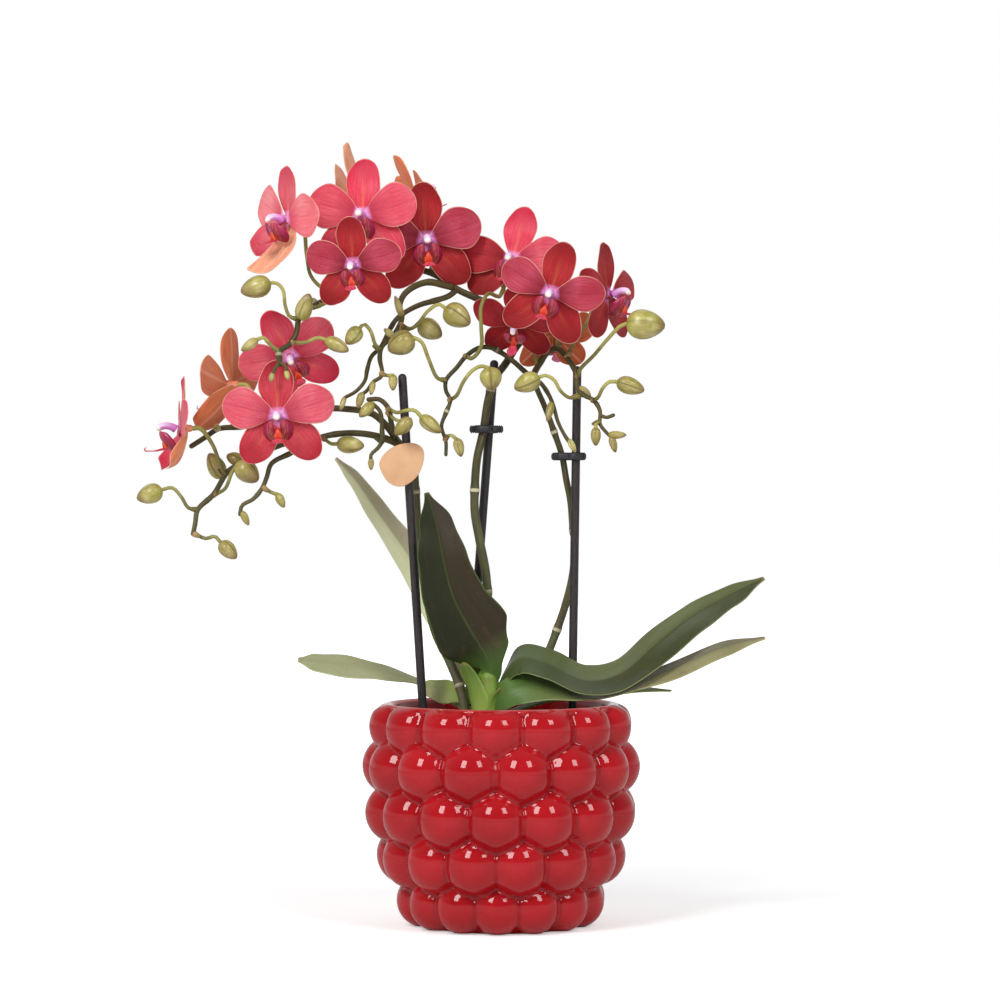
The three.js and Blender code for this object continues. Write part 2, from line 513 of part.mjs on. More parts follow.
// A lathe turned to stand on +Z instead of +Y
function uprightLathe(profile, segments) {
  const outline = profile.map(([radius, height]) => new THREE.Vector2(radius, height));
  return new THREE.LatheGeometry(outline, segments).rotateX(Math.PI / 2);
}

// Pot

// Radius of the bubbles' surface at a height and an angle, or the body's own where no bubble reaches
function bubbleRadius(height, angle) {
  const pitch = (2 * Math.PI) / POT.bubblesPerRow;
  const turn = THREE.MathUtils.degToRad(POT.firstRowTurn) - Math.PI / 2;
  let radius = potBodyRadius(height);
  BUBBLE_ROWS.forEach((row, k) => {
    const rowTurn = turn + (k % 2 ? pitch / 2 : 0);
    const off = angle - rowTurn - Math.round((angle - rowTurn) / pitch) * pitch;
    const reach = row.bubble ** 2 - (height - row.height) ** 2 - (row.ring * Math.sin(off)) ** 2;
    if (reach > 0) radius = Math.max(radius, row.ring * Math.cos(off) + Math.sqrt(reach));
  });
  return radius;
}

// Radius of the round body under the bubbles
function potBodyRadius(height) {
  const rows = BUBBLE_ROWS;
  if (height <= rows[0].height) {
    return THREE.MathUtils.lerp(POT.footRadius, rows[0].ring + POT.bodyLift, height / rows[0].height);
  }
  for (let k = 1; k < rows.length; k += 1) {
    if (height <= rows[k].height) {
      const share = (height - rows[k - 1].height) / (rows[k].height - rows[k - 1].height);
      return THREE.MathUtils.lerp(rows[k - 1].ring, rows[k].ring, share) + POT.bodyLift;
    }
  }
  const share = (height - rows.at(-1).height) / (POT.rimHeight - rows.at(-1).height);
  return THREE.MathUtils.lerp(rows.at(-1).ring + POT.bodyLift, POT.rimRadius, share);
}

function potInnerRadius(height) {
  return Math.min(POT.rimRadius - POT.wall, potBodyRadius(height) - POT.wall / 2);
}

function makePot() {
  const heights = [];
  const edge = POT.rimHeight - POT.rimEdge;
  BUBBLE_ROWS.forEach((row, k) => {
    const next = BUBBLE_ROWS[k + 1]?.height ?? edge;
    for (let level = 0; level < POT.levelsPerRow; level += 1) {
      heights.push(THREE.MathUtils.lerp(row.height, next, level / POT.levelsPerRow));
    }
  });
  const outer = [0, BUBBLE_ROWS[0].height / 2, ...heights, edge];
  const inner = [edge, BUBBLE_ROWS[2].height, POT.floor];
  const profile = [
    [0, 0],
    ...outer.map((height) => [POT.footRadius, height]),
    [POT.rimRadius - POT.rimEdge, POT.rimHeight],
    [POT.rimRadius - POT.wall + POT.rimEdge, POT.rimHeight],
    ...inner.map((height) => [potInnerRadius(height), height]),
    [0, POT.floor],
  ];
  const geometry = uprightLathe(profile, POT.bubblesPerRow * POT.columnsPerBubble);
  const position = geometry.attributes.position;
  for (let i = 0; i < position.count; i += 1) {
    const place = (i % profile.length) - 1;
    if (place >= 0 && place < outer.length) {
      const angle = Math.atan2(position.getY(i), position.getX(i));
      const height = outer[place];
      const radius = bubbleRadius(height, angle);
      position.setXY(i, radius * Math.cos(angle), radius * Math.sin(angle));
    }
  }
  return solidOf(geometry);
}

function nurseryRadius(height) {
  const foot = POT.floor + GAP;
  return THREE.MathUtils.lerp(NURSERY.footRadius, NURSERY.topRadius, (height - foot) / (NURSERY.top - foot));
}

function makeNursery() {
  const foot = POT.floor + GAP;
  const { top, topRadius, wall, rimWidth, rimDepth, sides } = NURSERY;
  return solidOf(uprightLathe([
    [0, foot],
    [nurseryRadius(foot), foot],
    [nurseryRadius(top - rimDepth), top - rimDepth],
    [topRadius + rimWidth, top - rimDepth],
    [topRadius + rimWidth, top],
    [topRadius - wall, top],
    [nurseryRadius(foot + wall) - wall, foot + wall],
    [0, foot + wall],
  ], sides));
}

// Repeatable draws between 0 and 1
function seededDraw(seed) {
  let state = seed;
  return () => {
    state = (state * 16807) % 2147483647;
    return state / 2147483647;
  };
}

function makeBark(holes) {
  const { top, edgeDrop, edgeInset, dome, chipTilt } = BARK;
  const foot = POT.floor + NURSERY.wall + 2 * GAP;
  const inset = NURSERY.wall + 2 * GAP;
  const plug = uprightLathe([
    [0, foot],
    [nurseryRadius(foot) - inset, foot],
    [nurseryRadius(top - edgeDrop) - inset, top - edgeDrop],
    [nurseryRadius(top) - inset - edgeInset, top],
    [0, top + dome],
  ], BARK.sides);
  const draw = seededDraw(BARK.seed);
  const chips = [];
  for (let i = 0; i < BARK.chips; i += 1) {
    const angle = (2 * Math.PI * (i + 0.5 * draw())) / BARK.chips;
    const reach = BARK.nearest + BARK.spread * draw();
    const [tiltX, tiltY] = [chipTilt * (draw() - 0.5), chipTilt * (draw() - 0.5)];
    const chip = new THREE.BoxGeometry(...BARK.chipSize);
    chip.rotateX(tiltX).rotateY(tiltY).rotateZ(2 * Math.PI * draw());
    const [x, y] = [reach * Math.cos(angle), reach * Math.sin(angle)];
    chip.translate(x, y, top + (x < 0 && y < 0 ? BARK.lift : 0));
    chips.push(solidOf(chip));
  }
  return holes.reduce((bark, hole) => bark.subtract(hole), fused([solidOf(plug), ...chips]));
}

// Crown and leaves

function crownSolid(extra) {
  const { centre, radius, depth, foot, top, sides } = CROWN;
  const outline = CROWN_OUTLINE.map(([side, rise]) => {
    return [radius * side + extra, THREE.MathUtils.lerp(foot - extra, top + extra, rise)];
  });
  const geometry = uprightLathe([[0, foot - extra], ...outline, [0, top + extra]], sides);
  geometry.scale(1, depth / radius, 1).translate(...centre, 0);
  return solidOf(geometry);
}

function smoothValue(values, u) {
  const place = THREE.MathUtils.clamp(u, 0, 1) * (values.length - 1);
  const low = Math.min(Math.floor(place), values.length - 2);
  const share = THREE.MathUtils.smoothstep(place - low, 0, 1);
  return THREE.MathUtils.lerp(values[low], values[low + 1], share);
}

// Middle face of a leaf: it folds along its midrib and its edges curl
function leafFace(stations) {
  const roots = stations.map(({ at }) => new THREE.Vector3(...at));
  const spine = new THREE.CatmullRomCurve3(roots, false, 'centripetal');
  const sides = stations.map(({ across }) => new THREE.Vector3(...across).normalize());
  const halves = stations.map(({ half }) => half);
  const folds = stations.map(({ fold }) => fold);
  return (u, v) => {
    const t = THREE.MathUtils.clamp(u, 0, 1);
    const [x, y, z] = ['x', 'y', 'z'].map((axis) => smoothValue(sides.map((side) => side[axis]), t));
    const across = new THREE.Vector3(x, y, z);
    const tangent = spine.getTangent(t);
    across.addScaledVector(tangent, -across.dot(tangent)).normalize();
    const normal = tangent.clone().cross(across);
    const half = smoothValue(halves, t);
    const fold = smoothValue(folds, t);
    const rise = half * (fold * Math.abs(v) - LEAF.curl * v * v);
    return spine.getPoint(t)
      .addScaledVector(tangent, (u - t) * spine.getLength())
      .addScaledVector(across, half * v)
      .addScaledVector(normal, rise);
  };
}

function makeLeaf(stations) {
  const leaf = bladeGeometry(leafFace(stations), LEAF.along, LEAF.across, LEAF.thickness);
  return solidOf(leaf).subtract(crownSolid(GAP));
}

// Flowers

// Half width of a tepal along its length, full at its widest share and blunt at the tip
function tepalHalfWidth({ width, widest, fullness, root }, u) {
  const power = Math.log(0.5 / TIP_SHARE) / Math.log(widest);
  const swell = Math.sin(Math.PI * TIP_SHARE * THREE.MathUtils.clamp(u, 0, 1) ** power);
  return (width / 2) * Math.max(root, swell ** fullness);
}

// A tepal in the flower's own frame: it faces -Y and grows from the centre at its angle
function tepalFace(tepal) {
  const { length, bend, cup, round, setBack } = tepal;
  const angle = THREE.MathUtils.degToRad(tepal.angle);
  const outward = new THREE.Vector3(Math.cos(angle), 0, Math.sin(angle));
  const sideways = new THREE.Vector3(-Math.sin(angle), 0, Math.cos(angle));
  return (u, v) => {
    const half = tepalHalfWidth(tepal, u);
    const reach = THREE.MathUtils.lerp(FLOWER.rootRadius, length, u) - round * length * v * v * u * u;
    const depth = setBack + bend * length * u * u - cup * half * v * v * u;
    return new THREE.Vector3(0, depth, 0).addScaledVector(outward, reach).addScaledVector(sideways, half * v);
  };
}

function bloomFrame({ at, turn, tilt, roll, size }) {
  const radians = THREE.MathUtils.degToRad;
  const euler = new THREE.Euler(-radians(tilt), -radians(roll), radians(turn), 'ZXY');
  const rotation = new THREE.Quaternion().setFromEuler(euler);
  return new THREE.Matrix4().compose(new THREE.Vector3(...at), rotation, new THREE.Vector3(size, size, size));
}

function makeBloom(bloom) {
  const frame = bloomFrame(bloom);
  const { thickness, neckLength, neckRadius, throatRadius, throatFront, neckSides, along, across } = FLOWER;
  const { angles, setBacks, bends } = LOWER_SEPALS[bloom.lower ?? 'wide'];
  const petal = { ...FLOWER.petal, width: FLOWER.petal.width * (bloom.breadth ?? 1), setBack: 0 };
  const tepals = [
    { ...FLOWER.sepal, ...UPPER_SEPAL },
    ...angles.map((angle, k) => ({ ...FLOWER.sepal, angle, setBack: setBacks[k], bend: bends[k] })),
    ...(bloom.petals ?? PETAL_ANGLES).map((angle) => ({ ...petal, angle })),
  ];
  const blades = tepals.map((tepal) => bladeGeometry(tepalFace(tepal), along, across, thickness));
  const neck = stemGeometry([[0, throatFront, 0], [0, neckLength, 0]], throatRadius, neckRadius, neckSides);
  return fused([neck, ...blades].map((geometry) => solidOf(geometry.applyMatrix4(frame))));
}

// The lip swings forward and down from under the column, its side lobes turned up beside it
function lipFace(u, v) {
  const share = THREE.MathUtils.clamp(u, 0, 1);
  const half = smoothValue(LIP.halfWidths, share);
  const lift = smoothValue(LIP.lifts, share) * v * v;
  const [x, y, z] = LIP.root;
  const drop = LIP.drop * Math.sin((Math.PI / 2) * Math.min(1, 2 * share));
  return new THREE.Vector3(x + half * v, y - LIP.forward * u, z - drop + lift);
}

function makeLip(bloom) {
  const frame = bloomFrame(bloom);
  const { column, halfWidths, thickness } = LIP;
  const blade = bladeGeometry(lipFace, halfWidths.length - 1, 2, thickness);
  const body = stemGeometry(column.route, ...column.radii, column.sides);
  return fused([solidOf(body.applyMatrix4(frame)), solidOf(blade.applyMatrix4(frame))]);
}

// Spikes

// The stalk runs up behind the flower and ends just short of its neck
function bloomStalk(bloom) {
  const frame = bloomFrame(bloom);
  const end = FLOWER.neckLength + GAP / bloom.size;
  const approach = new THREE.Vector3(0, end + STEM.approach, 0).applyMatrix4(frame);
  const tip = new THREE.Vector3(0, end, 0).applyMatrix4(frame);
  return [...bloom.stalk, approach.toArray(), tip.toArray()];
}

function stalkSolid(route) {
  return solidOf(stemGeometry(route, STEM.stalkRadius, STEM.stalkRadius, STEM.stalkSides));
}

function budSolid({ stalk, root: foot, tip, width }) {
  const root = new THREE.Vector3(...(foot ?? stalk.at(-1)));
  const direction = new THREE.Vector3(...tip).sub(root);
  const length = direction.length() + BUD.sink;
  direction.normalize();
  const outline = BUD.profile.map(([side, along]) => new THREE.Vector2(side * width, along * length));
  const geometry = new THREE.LatheGeometry(outline, BUD.sides);
  geometry.applyQuaternion(new THREE.Quaternion().setFromUnitVectors(new THREE.Vector3(0, 1, 0), direction));
  const start = root.addScaledVector(direction, -BUD.sink);
  return solidOf(geometry.translate(start.x, start.y, start.z));
}

function makeSpike(name) {
  const { stems, buds } = SPIKES[name];
  const parts = stems.map(({ route, radii }, k) => {
    return solidOf(stemGeometry(route, ...radii, k ? STEM.branchSides : STEM.leaderSides));
  });
  buds.forEach((bud) => {
    if (bud.stalk) parts.push(stalkSolid(bud.stalk));
    parts.push(budSolid(bud));
  });
  const blooms = Object.values(BLOOMS).filter(({ on }) => on === name);
  blooms.forEach((bloom) => parts.push(stalkSolid(bloomStalk(bloom))));
  return fused(parts);
}

function spikeHole(name) {
  const [[x, y, z], ...above] = SPIKES[name].stems[0].route.slice(0, 3);
  const foot = [[x, y, z - 2 * GAP], ...above];
  const radius = SPIKES[name].stems[0].radii[0] + 1.5 * GAP;
  return solidOf(stemGeometry(foot, radius, radius, STEM.leaderSides));
}

// Stakes, clips and tag

function stakePoint({ top, low }, height) {
  const share = (height - low[2]) / (top[2] - low[2]);
  return new THREE.Vector3(...low).lerp(new THREE.Vector3(...top), share);
}

function stakeSolid(name, radius) {
  const foot = stakePoint(STAKES[name], BARK.top - STAKE.buried);
  const top = new THREE.Vector3(...STAKES[name].top);
  const rod = new THREE.CylinderGeometry(radius, radius, foot.distanceTo(top), STAKE.sides);
  const direction = top.clone().sub(foot).normalize();
  rod.applyQuaternion(new THREE.Quaternion().setFromUnitVectors(new THREE.Vector3(0, 1, 0), direction));
  const middle = foot.lerp(top, 0.5);
  return solidOf(rod.translate(middle.x, middle.y, middle.z));
}

// A flat clip with a hole for the stake and one for the stem
function makeClip({ z, stake, stem, stemRadius, bar }) {
  const post = stakePoint(STAKES[stake], z);
  const [stemX, stemY] = stem;
  const holes = [
    { x: post.x, y: post.y, radius: STAKE.radius + 1.5 * GAP },
    { x: stemX, y: stemY, radius: stemRadius + 1.5 * GAP },
  ];
  const centreX = (post.x + stemX) / 2;
  const reach = holes.map(({ radius }) => radius + CLIP.margin);
  const low = Math.min(post.y - reach[0], stemY - reach[1]);
  const high = Math.max(post.y + reach[0], stemY + reach[1]);
  const width = Math.max(bar, Math.abs(post.x - stemX) + reach[0] + reach[1]);
  const { corner, height: depth } = CLIP;
  const outline = new THREE.Shape();
  const [left, right] = [centreX - width / 2, centreX + width / 2];
  outline.moveTo(left + corner, low);
  outline.lineTo(right - corner, low);
  outline.lineTo(right, low + corner);
  outline.lineTo(right, high - corner);
  outline.lineTo(right - corner, high);
  outline.lineTo(left + corner, high);
  outline.lineTo(left, high - corner);
  outline.lineTo(left, low + corner);
  holes.forEach(({ x, y, radius }) => {
    outline.holes.push(new THREE.Path().absarc(x, y, radius, 0, 2 * Math.PI));
  });
  const options = { depth, bevelEnabled: false, curveSegments: CLIP.holeSegments };
  const geometry = new THREE.ExtrudeGeometry(outline, options);
  return solidOf(geometry.translate(0, 0, z - depth / 2));
}

// A rounded plate with a collar behind it that slips over the stake
function makeTag() {
  const { z, width, height, thickness, standOff, collarHeight, collarWall } = TAG;
  const post = stakePoint(STAKES.left, z);
  const [w, h] = [width / 2, height / 2];
  const outline = new THREE.Shape();
  outline.moveTo(-w * 0.75, -h * 0.6);
  outline.quadraticCurveTo(-w * 0.5, -h, 0, -h);
  outline.quadraticCurveTo(w * 0.9, -h * 0.7, w, h * 0.4);
  outline.quadraticCurveTo(w, h, w * 0.3, h);
  outline.quadraticCurveTo(-w * 0.7, h * 0.9, -w, h * 0.1);
  outline.quadraticCurveTo(-w, -h * 0.2, -w * 0.75, -h * 0.6);
  const options = { depth: thickness, bevelEnabled: false, curveSegments: TAG.curveSegments };
  const plate = new THREE.ExtrudeGeometry(outline, options);
  plate.rotateX(Math.PI / 2);
  const front = post.y - STAKE.radius - GAP - standOff;
  plate.translate(post.x + TAG.shiftX, front, z);
  const inner = STAKE.radius + 1.5 * GAP;
  const outer = inner + collarWall;
  const ring = [[inner, 0], [outer, 0], [outer, collarHeight], [inner, collarHeight], [inner, 0]];
  const collar = uprightLathe(ring, STAKE.sides).translate(post.x, post.y, z - collarHeight / 2);
  return fused([solidOf(plate), solidOf(collar)]);
}

// Assembly

addNode('cachepot', makePot(), FINISH.glaze);
addNode('nursery_pot', makeNursery(), FINISH.clearPlastic);

const stakeNames = Object.keys(STAKES);
const spikeNames = Object.keys(SPIKES);
const barkHoles = [
  crownSolid(GAP),
  ...stakeNames.map((name) => stakeSolid(name, STAKE.radius + GAP)),
  ...spikeNames.map((name) => spikeHole(name)),
];
addNode('bark', makeBark(barkHoles), FINISH.bark);
addNode('crown', crownSolid(0), FINISH.crown);
Object.entries(LEAVES).forEach(([name, stations]) => addNode(name, makeLeaf(stations), FINISH.leaf));
spikeNames.forEach((name) => addNode(`spike_${name}`, makeSpike(name), FINISH.stem));
Object.entries(BLOOMS).forEach(([number, bloom]) => {
  addNode(`bloom_${number}`, makeBloom(bloom), FINISH.petal);
  addNode(`lip_${number}`, makeLip(bloom), FINISH.lip);
});
stakeNames.forEach((name) => addNode(`stake_${name}`, stakeSolid(name, STAKE.radius), FINISH.stake));
Object.entries(CLIPS).forEach(([name, clip]) => addNode(`clip_${name}`, makeClip(clip), FINISH.clip));
addNode('tag', makeTag(), FINISH.tag);

export default orchid;
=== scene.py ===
"""Potted moth orchid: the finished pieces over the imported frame, its studio and its camera.

Lengths are millimetres while a piece is made and metres once it is finished. +Z is up, the origin is the
centre of the glazed pot's foot, and the front of the plant faces -Y.
"""

import logging
import math
import random
from collections.abc import Callable, Iterable, Sequence
from dataclasses import dataclass, field
from enum import Enum
from typing import ClassVar

import bmesh
import bpy
from mathutils import Matrix, Vector


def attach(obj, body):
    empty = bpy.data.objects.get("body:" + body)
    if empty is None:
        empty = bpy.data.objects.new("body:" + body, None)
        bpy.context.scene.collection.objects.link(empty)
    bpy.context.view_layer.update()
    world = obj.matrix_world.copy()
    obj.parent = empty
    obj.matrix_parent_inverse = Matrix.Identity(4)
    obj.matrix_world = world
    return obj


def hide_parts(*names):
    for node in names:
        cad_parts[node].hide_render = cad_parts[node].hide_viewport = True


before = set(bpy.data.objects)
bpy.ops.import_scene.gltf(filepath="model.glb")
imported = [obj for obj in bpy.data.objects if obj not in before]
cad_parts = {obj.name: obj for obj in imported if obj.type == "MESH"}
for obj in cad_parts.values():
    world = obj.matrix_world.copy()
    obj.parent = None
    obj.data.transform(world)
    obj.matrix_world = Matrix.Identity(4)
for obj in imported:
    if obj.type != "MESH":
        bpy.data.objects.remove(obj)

Point = tuple[float, float, float]
Growth = tuple[float, float, float, float]
Growing = Callable[[float, float, float], Growth]
Measure = Callable[[float, float], float]
Shape = Callable[[float, float], Vector]
Socket = bpy.types.NodeSocket

METRE = 0.001
FULL_TURN = 2 * math.pi
LOG = logging.getLogger("orchid")


# Layout, the same as the solids have


class LowerSepals(Enum):
    """How a flower holds its two lower sepals: the angle, the set-back and the bend of each."""

    WIDE = ((228.0, 2.0, 0.02), (312.0, 3.2, 0.02))
    FORWARD = ((226.0, 2.0, -0.38), (314.0, 3.2, -0.38))
    FOLDED = ((217.0, 2.0, -0.3), (268.0, 3.2, -0.7))


@dataclass(frozen=True)
class Station:
    """A section of a leaf: its midrib point, the direction across the blade, half its width, and its fold."""

    at: Point
    across: Point
    half: float
    fold: float


@dataclass(frozen=True)
class Stem:
    """A stem: its radius at the root and at the end, and the points it passes."""

    radii: tuple[float, float]
    route: tuple[Point, ...]


@dataclass(frozen=True)
class BudPlace:
    """A bud: its tip, its width, and its stalk's points up to the bud's root."""

    tip: Point
    width: float
    stalk: tuple[Point, ...]


@dataclass(frozen=True)
class Spray:
    """A flower spike: the leader and its side branches, and the buds on them."""

    stems: tuple[Stem, ...]
    buds: tuple[BudPlace, ...]


@dataclass(frozen=True)
class FlowerPlace:
    """A flower: its centre, turn about the vertical, tilt up and roll in degrees, size, spike and stalk.

    Where they differ, also its lower sepals, how broad its petals are and their angles.
    """

    at: Point
    turn: float
    tilt: float
    roll: float
    size: float
    spray: str
    stalk: tuple[Point, ...]
    lower: LowerSepals = LowerSepals.WIDE
    breadth: float = 1.0
    petals: tuple[float, float] = (163.0, 17.0)

    def placed(self) -> Matrix:
        """Works out where the flower stands.

        Returns:
            The move from its own frame, in which it faces -Y, to its place on the plant.
        """
        place = Matrix.Translation(self.at)
        for angle, axis in ((self.turn, "Z"), (-self.tilt, "X"), (-self.roll, "Y")):
            place = place @ Matrix.Rotation(math.radians(angle), 4, axis)
        return place @ Matrix.Scale(self.size, 4)


LEAF_STATIONS: dict[str, tuple[Station, ...]] = {
    "leaf_upright": (
        Station((-6, -3, 108), (1, 0, 0), 3.2, 0.3), Station((-4.5, -4.5, 116.5), (0.98, 0, -0.15), 5, 0.4),
        Station((-7.5, -5.5, 124), (0.97, 0, -0.25), 12.5, 0.35),
        Station((-13, -6, 133), (0.96, 0, -0.28), 17.5, 0.3),
        Station((-21.5, -7, 149), (0.93, 0, -0.36), 14.6, 0.3),
        Station((-26.3, -7, 167), (0.95, 0, -0.3), 11.6, 0.35),
        Station((-29.5, -5, 183), (0.95, 0, -0.3), 7.8, 0.4),
        Station((-34, -3, 197), (0.9, 0, -0.4), 1.2, 0.2),
    ),
    "leaf_arching": (
        Station((-3, -1, 103), (0.1, -0.99, 0), 3, 0.3),
        Station((1.5, -2.5, 113.5), (0.1, -0.93, -0.3), 7.6, 0.3),
        Station((9, -5, 121.5), (0.05, -0.87, -0.5), 12.5, 0.2),
        Station((22, -8, 118.5), (0, -0.9, -0.42), 14.5, 0.12),
        Station((38, -10, 111.5), (0, -0.92, -0.39), 15, 0.12),
        Station((54, -10, 114.5), (0.1, -0.9, -0.42), 15, 0.2),
        Station((71, -8, 129), (0.3, -0.8, -0.52), 13, 0.35),
        Station((88, -6, 142), (0.3, -0.75, -0.6), 10, 0.4),
        Station((105, -4, 151), (0.3, -0.75, -0.6), 7, 0.3),
        Station((120, -2, 158), (0.3, -0.75, -0.6), 1.2, 0.2),
    ),
    "leaf_right_front": (
        Station((-4, -5, 97), (0.3, -0.7, -0.6), 3.2, 0.2),
        Station((2, -11.8, 105.5), (0.2, -0.5, -0.84), 7.2, 0.2),
        Station((12, -13.6, 109), (0, -0.68, -0.73), 9.2, 0.2),
        Station((28, -14, 107), (0, -0.87, -0.48), 8.5, 0.1),
        Station((42, -13, 105.2), (0, -0.96, -0.28), 7.5, 0.1),
        Station((56, -13, 108.5), (0, -0.95, -0.3), 7.5, 0.15),
        Station((78, -12, 116.5), (0.1, -0.88, -0.45), 8, 0.2),
        Station((100, -10, 126), (0.15, -0.86, -0.48), 6.5, 0.2),
        Station((120, -8, 131), (0.15, -0.86, -0.48), 1.2, 0.1),
    ),
    "leaf_right_low": (
        Station((-3, 1, 95), (0, -1, 0), 2.2, 0.2), Station((7, 0.5, 98), (0, -0.98, -0.2), 3.5, 0.2),
        Station((18, 0, 102), (0, -0.98, -0.2), 4.8, 0.2), Station((33, 0, 104.3), (0, -0.98, -0.2), 5, 0.15),
        Station((48, 0, 105.5), (0, -0.98, -0.2), 5, 0.15), Station((64, 0, 107), (0, -0.98, -0.2), 4, 0.15),
        Station((78, 0, 106.5), (0, -0.98, -0.2), 0.9, 0.1),
    ),
    "leaf_back_left": (
        Station((-9, 0, 103.5), (0.2, 0.2, 0.95), 2, 0.1),
        Station((-12.5, 7.5, 108), (0.2, 0.2, 0.95), 2.2, 0.1),
        Station((-18.5, 14, 115), (0.2, 0.1, 0.97), 3.4, 0.15),
        Station((-22.5, 21, 128), (0.6, -0.1, 0.78), 6, 0.25),
        Station((-31.5, 26, 147), (0.83, -0.2, 0.52), 8.2, 0.3),
        Station((-43.5, 29, 168), (0.83, -0.2, 0.52), 7.5, 0.35),
        Station((-57, 30, 187), (0.78, -0.2, 0.6), 5.5, 0.4),
        Station((-68, 30, 203), (0.75, -0.2, 0.63), 3.5, 0.4),
        Station((-77, 30, 213), (0.75, -0.2, 0.63), 0.9, 0.2),
    ),
    "leaf_short_back": (
        Station((-9, -0.5, 99), (0.1, 0.1, 0.99), 1.8, 0.1),
        Station((-12.5, 7, 101.5), (0.2, 0.1, 0.97), 2.2, 0.1),
        Station((-18.5, 13.5, 104), (-0.1, 0.35, 0.93), 4.2, 0.1),
        Station((-26, 18, 105), (-0.1, 0.4, 0.91), 5.8, 0.15),
        Station((-33, 20, 106.5), (-0.1, 0.4, 0.91), 4.4, 0.12),
        Station((-38, 20.5, 107.5), (-0.1, 0.4, 0.91), 1.6, 0.1),
    ),
    "leaf_left_low": (
        Station((-9, -1, 94), (0.1, 0.1, 0.99), 1.7, 0.1),
        Station((-12.5, 8, 96), (0.2, 0.1, 0.97), 1.8, 0.1),
        Station((-18, 16, 98.8), (0.2, 0.1, 0.97), 1.8, 0.1),
        Station((-26, 26, 103), (0.5, 0.6, 0.6), 2.4, 0.2),
        Station((-38, 30, 109), (0.3, 0.9, 0.3), 2.8, 0.2),
        Station((-56, 27, 113.5), (0.12, 0.9, 0.42), 7.5, 0.15),
        Station((-72, 24, 116), (0, 0.9, 0.43), 11, 0.12), Station((-86, 22, 118), (0, 0.9, 0.43), 8.5, 0.12),
        Station((-94, 21, 119.5), (0, 0.92, 0.38), 2.6, 0.1),
    ),
}

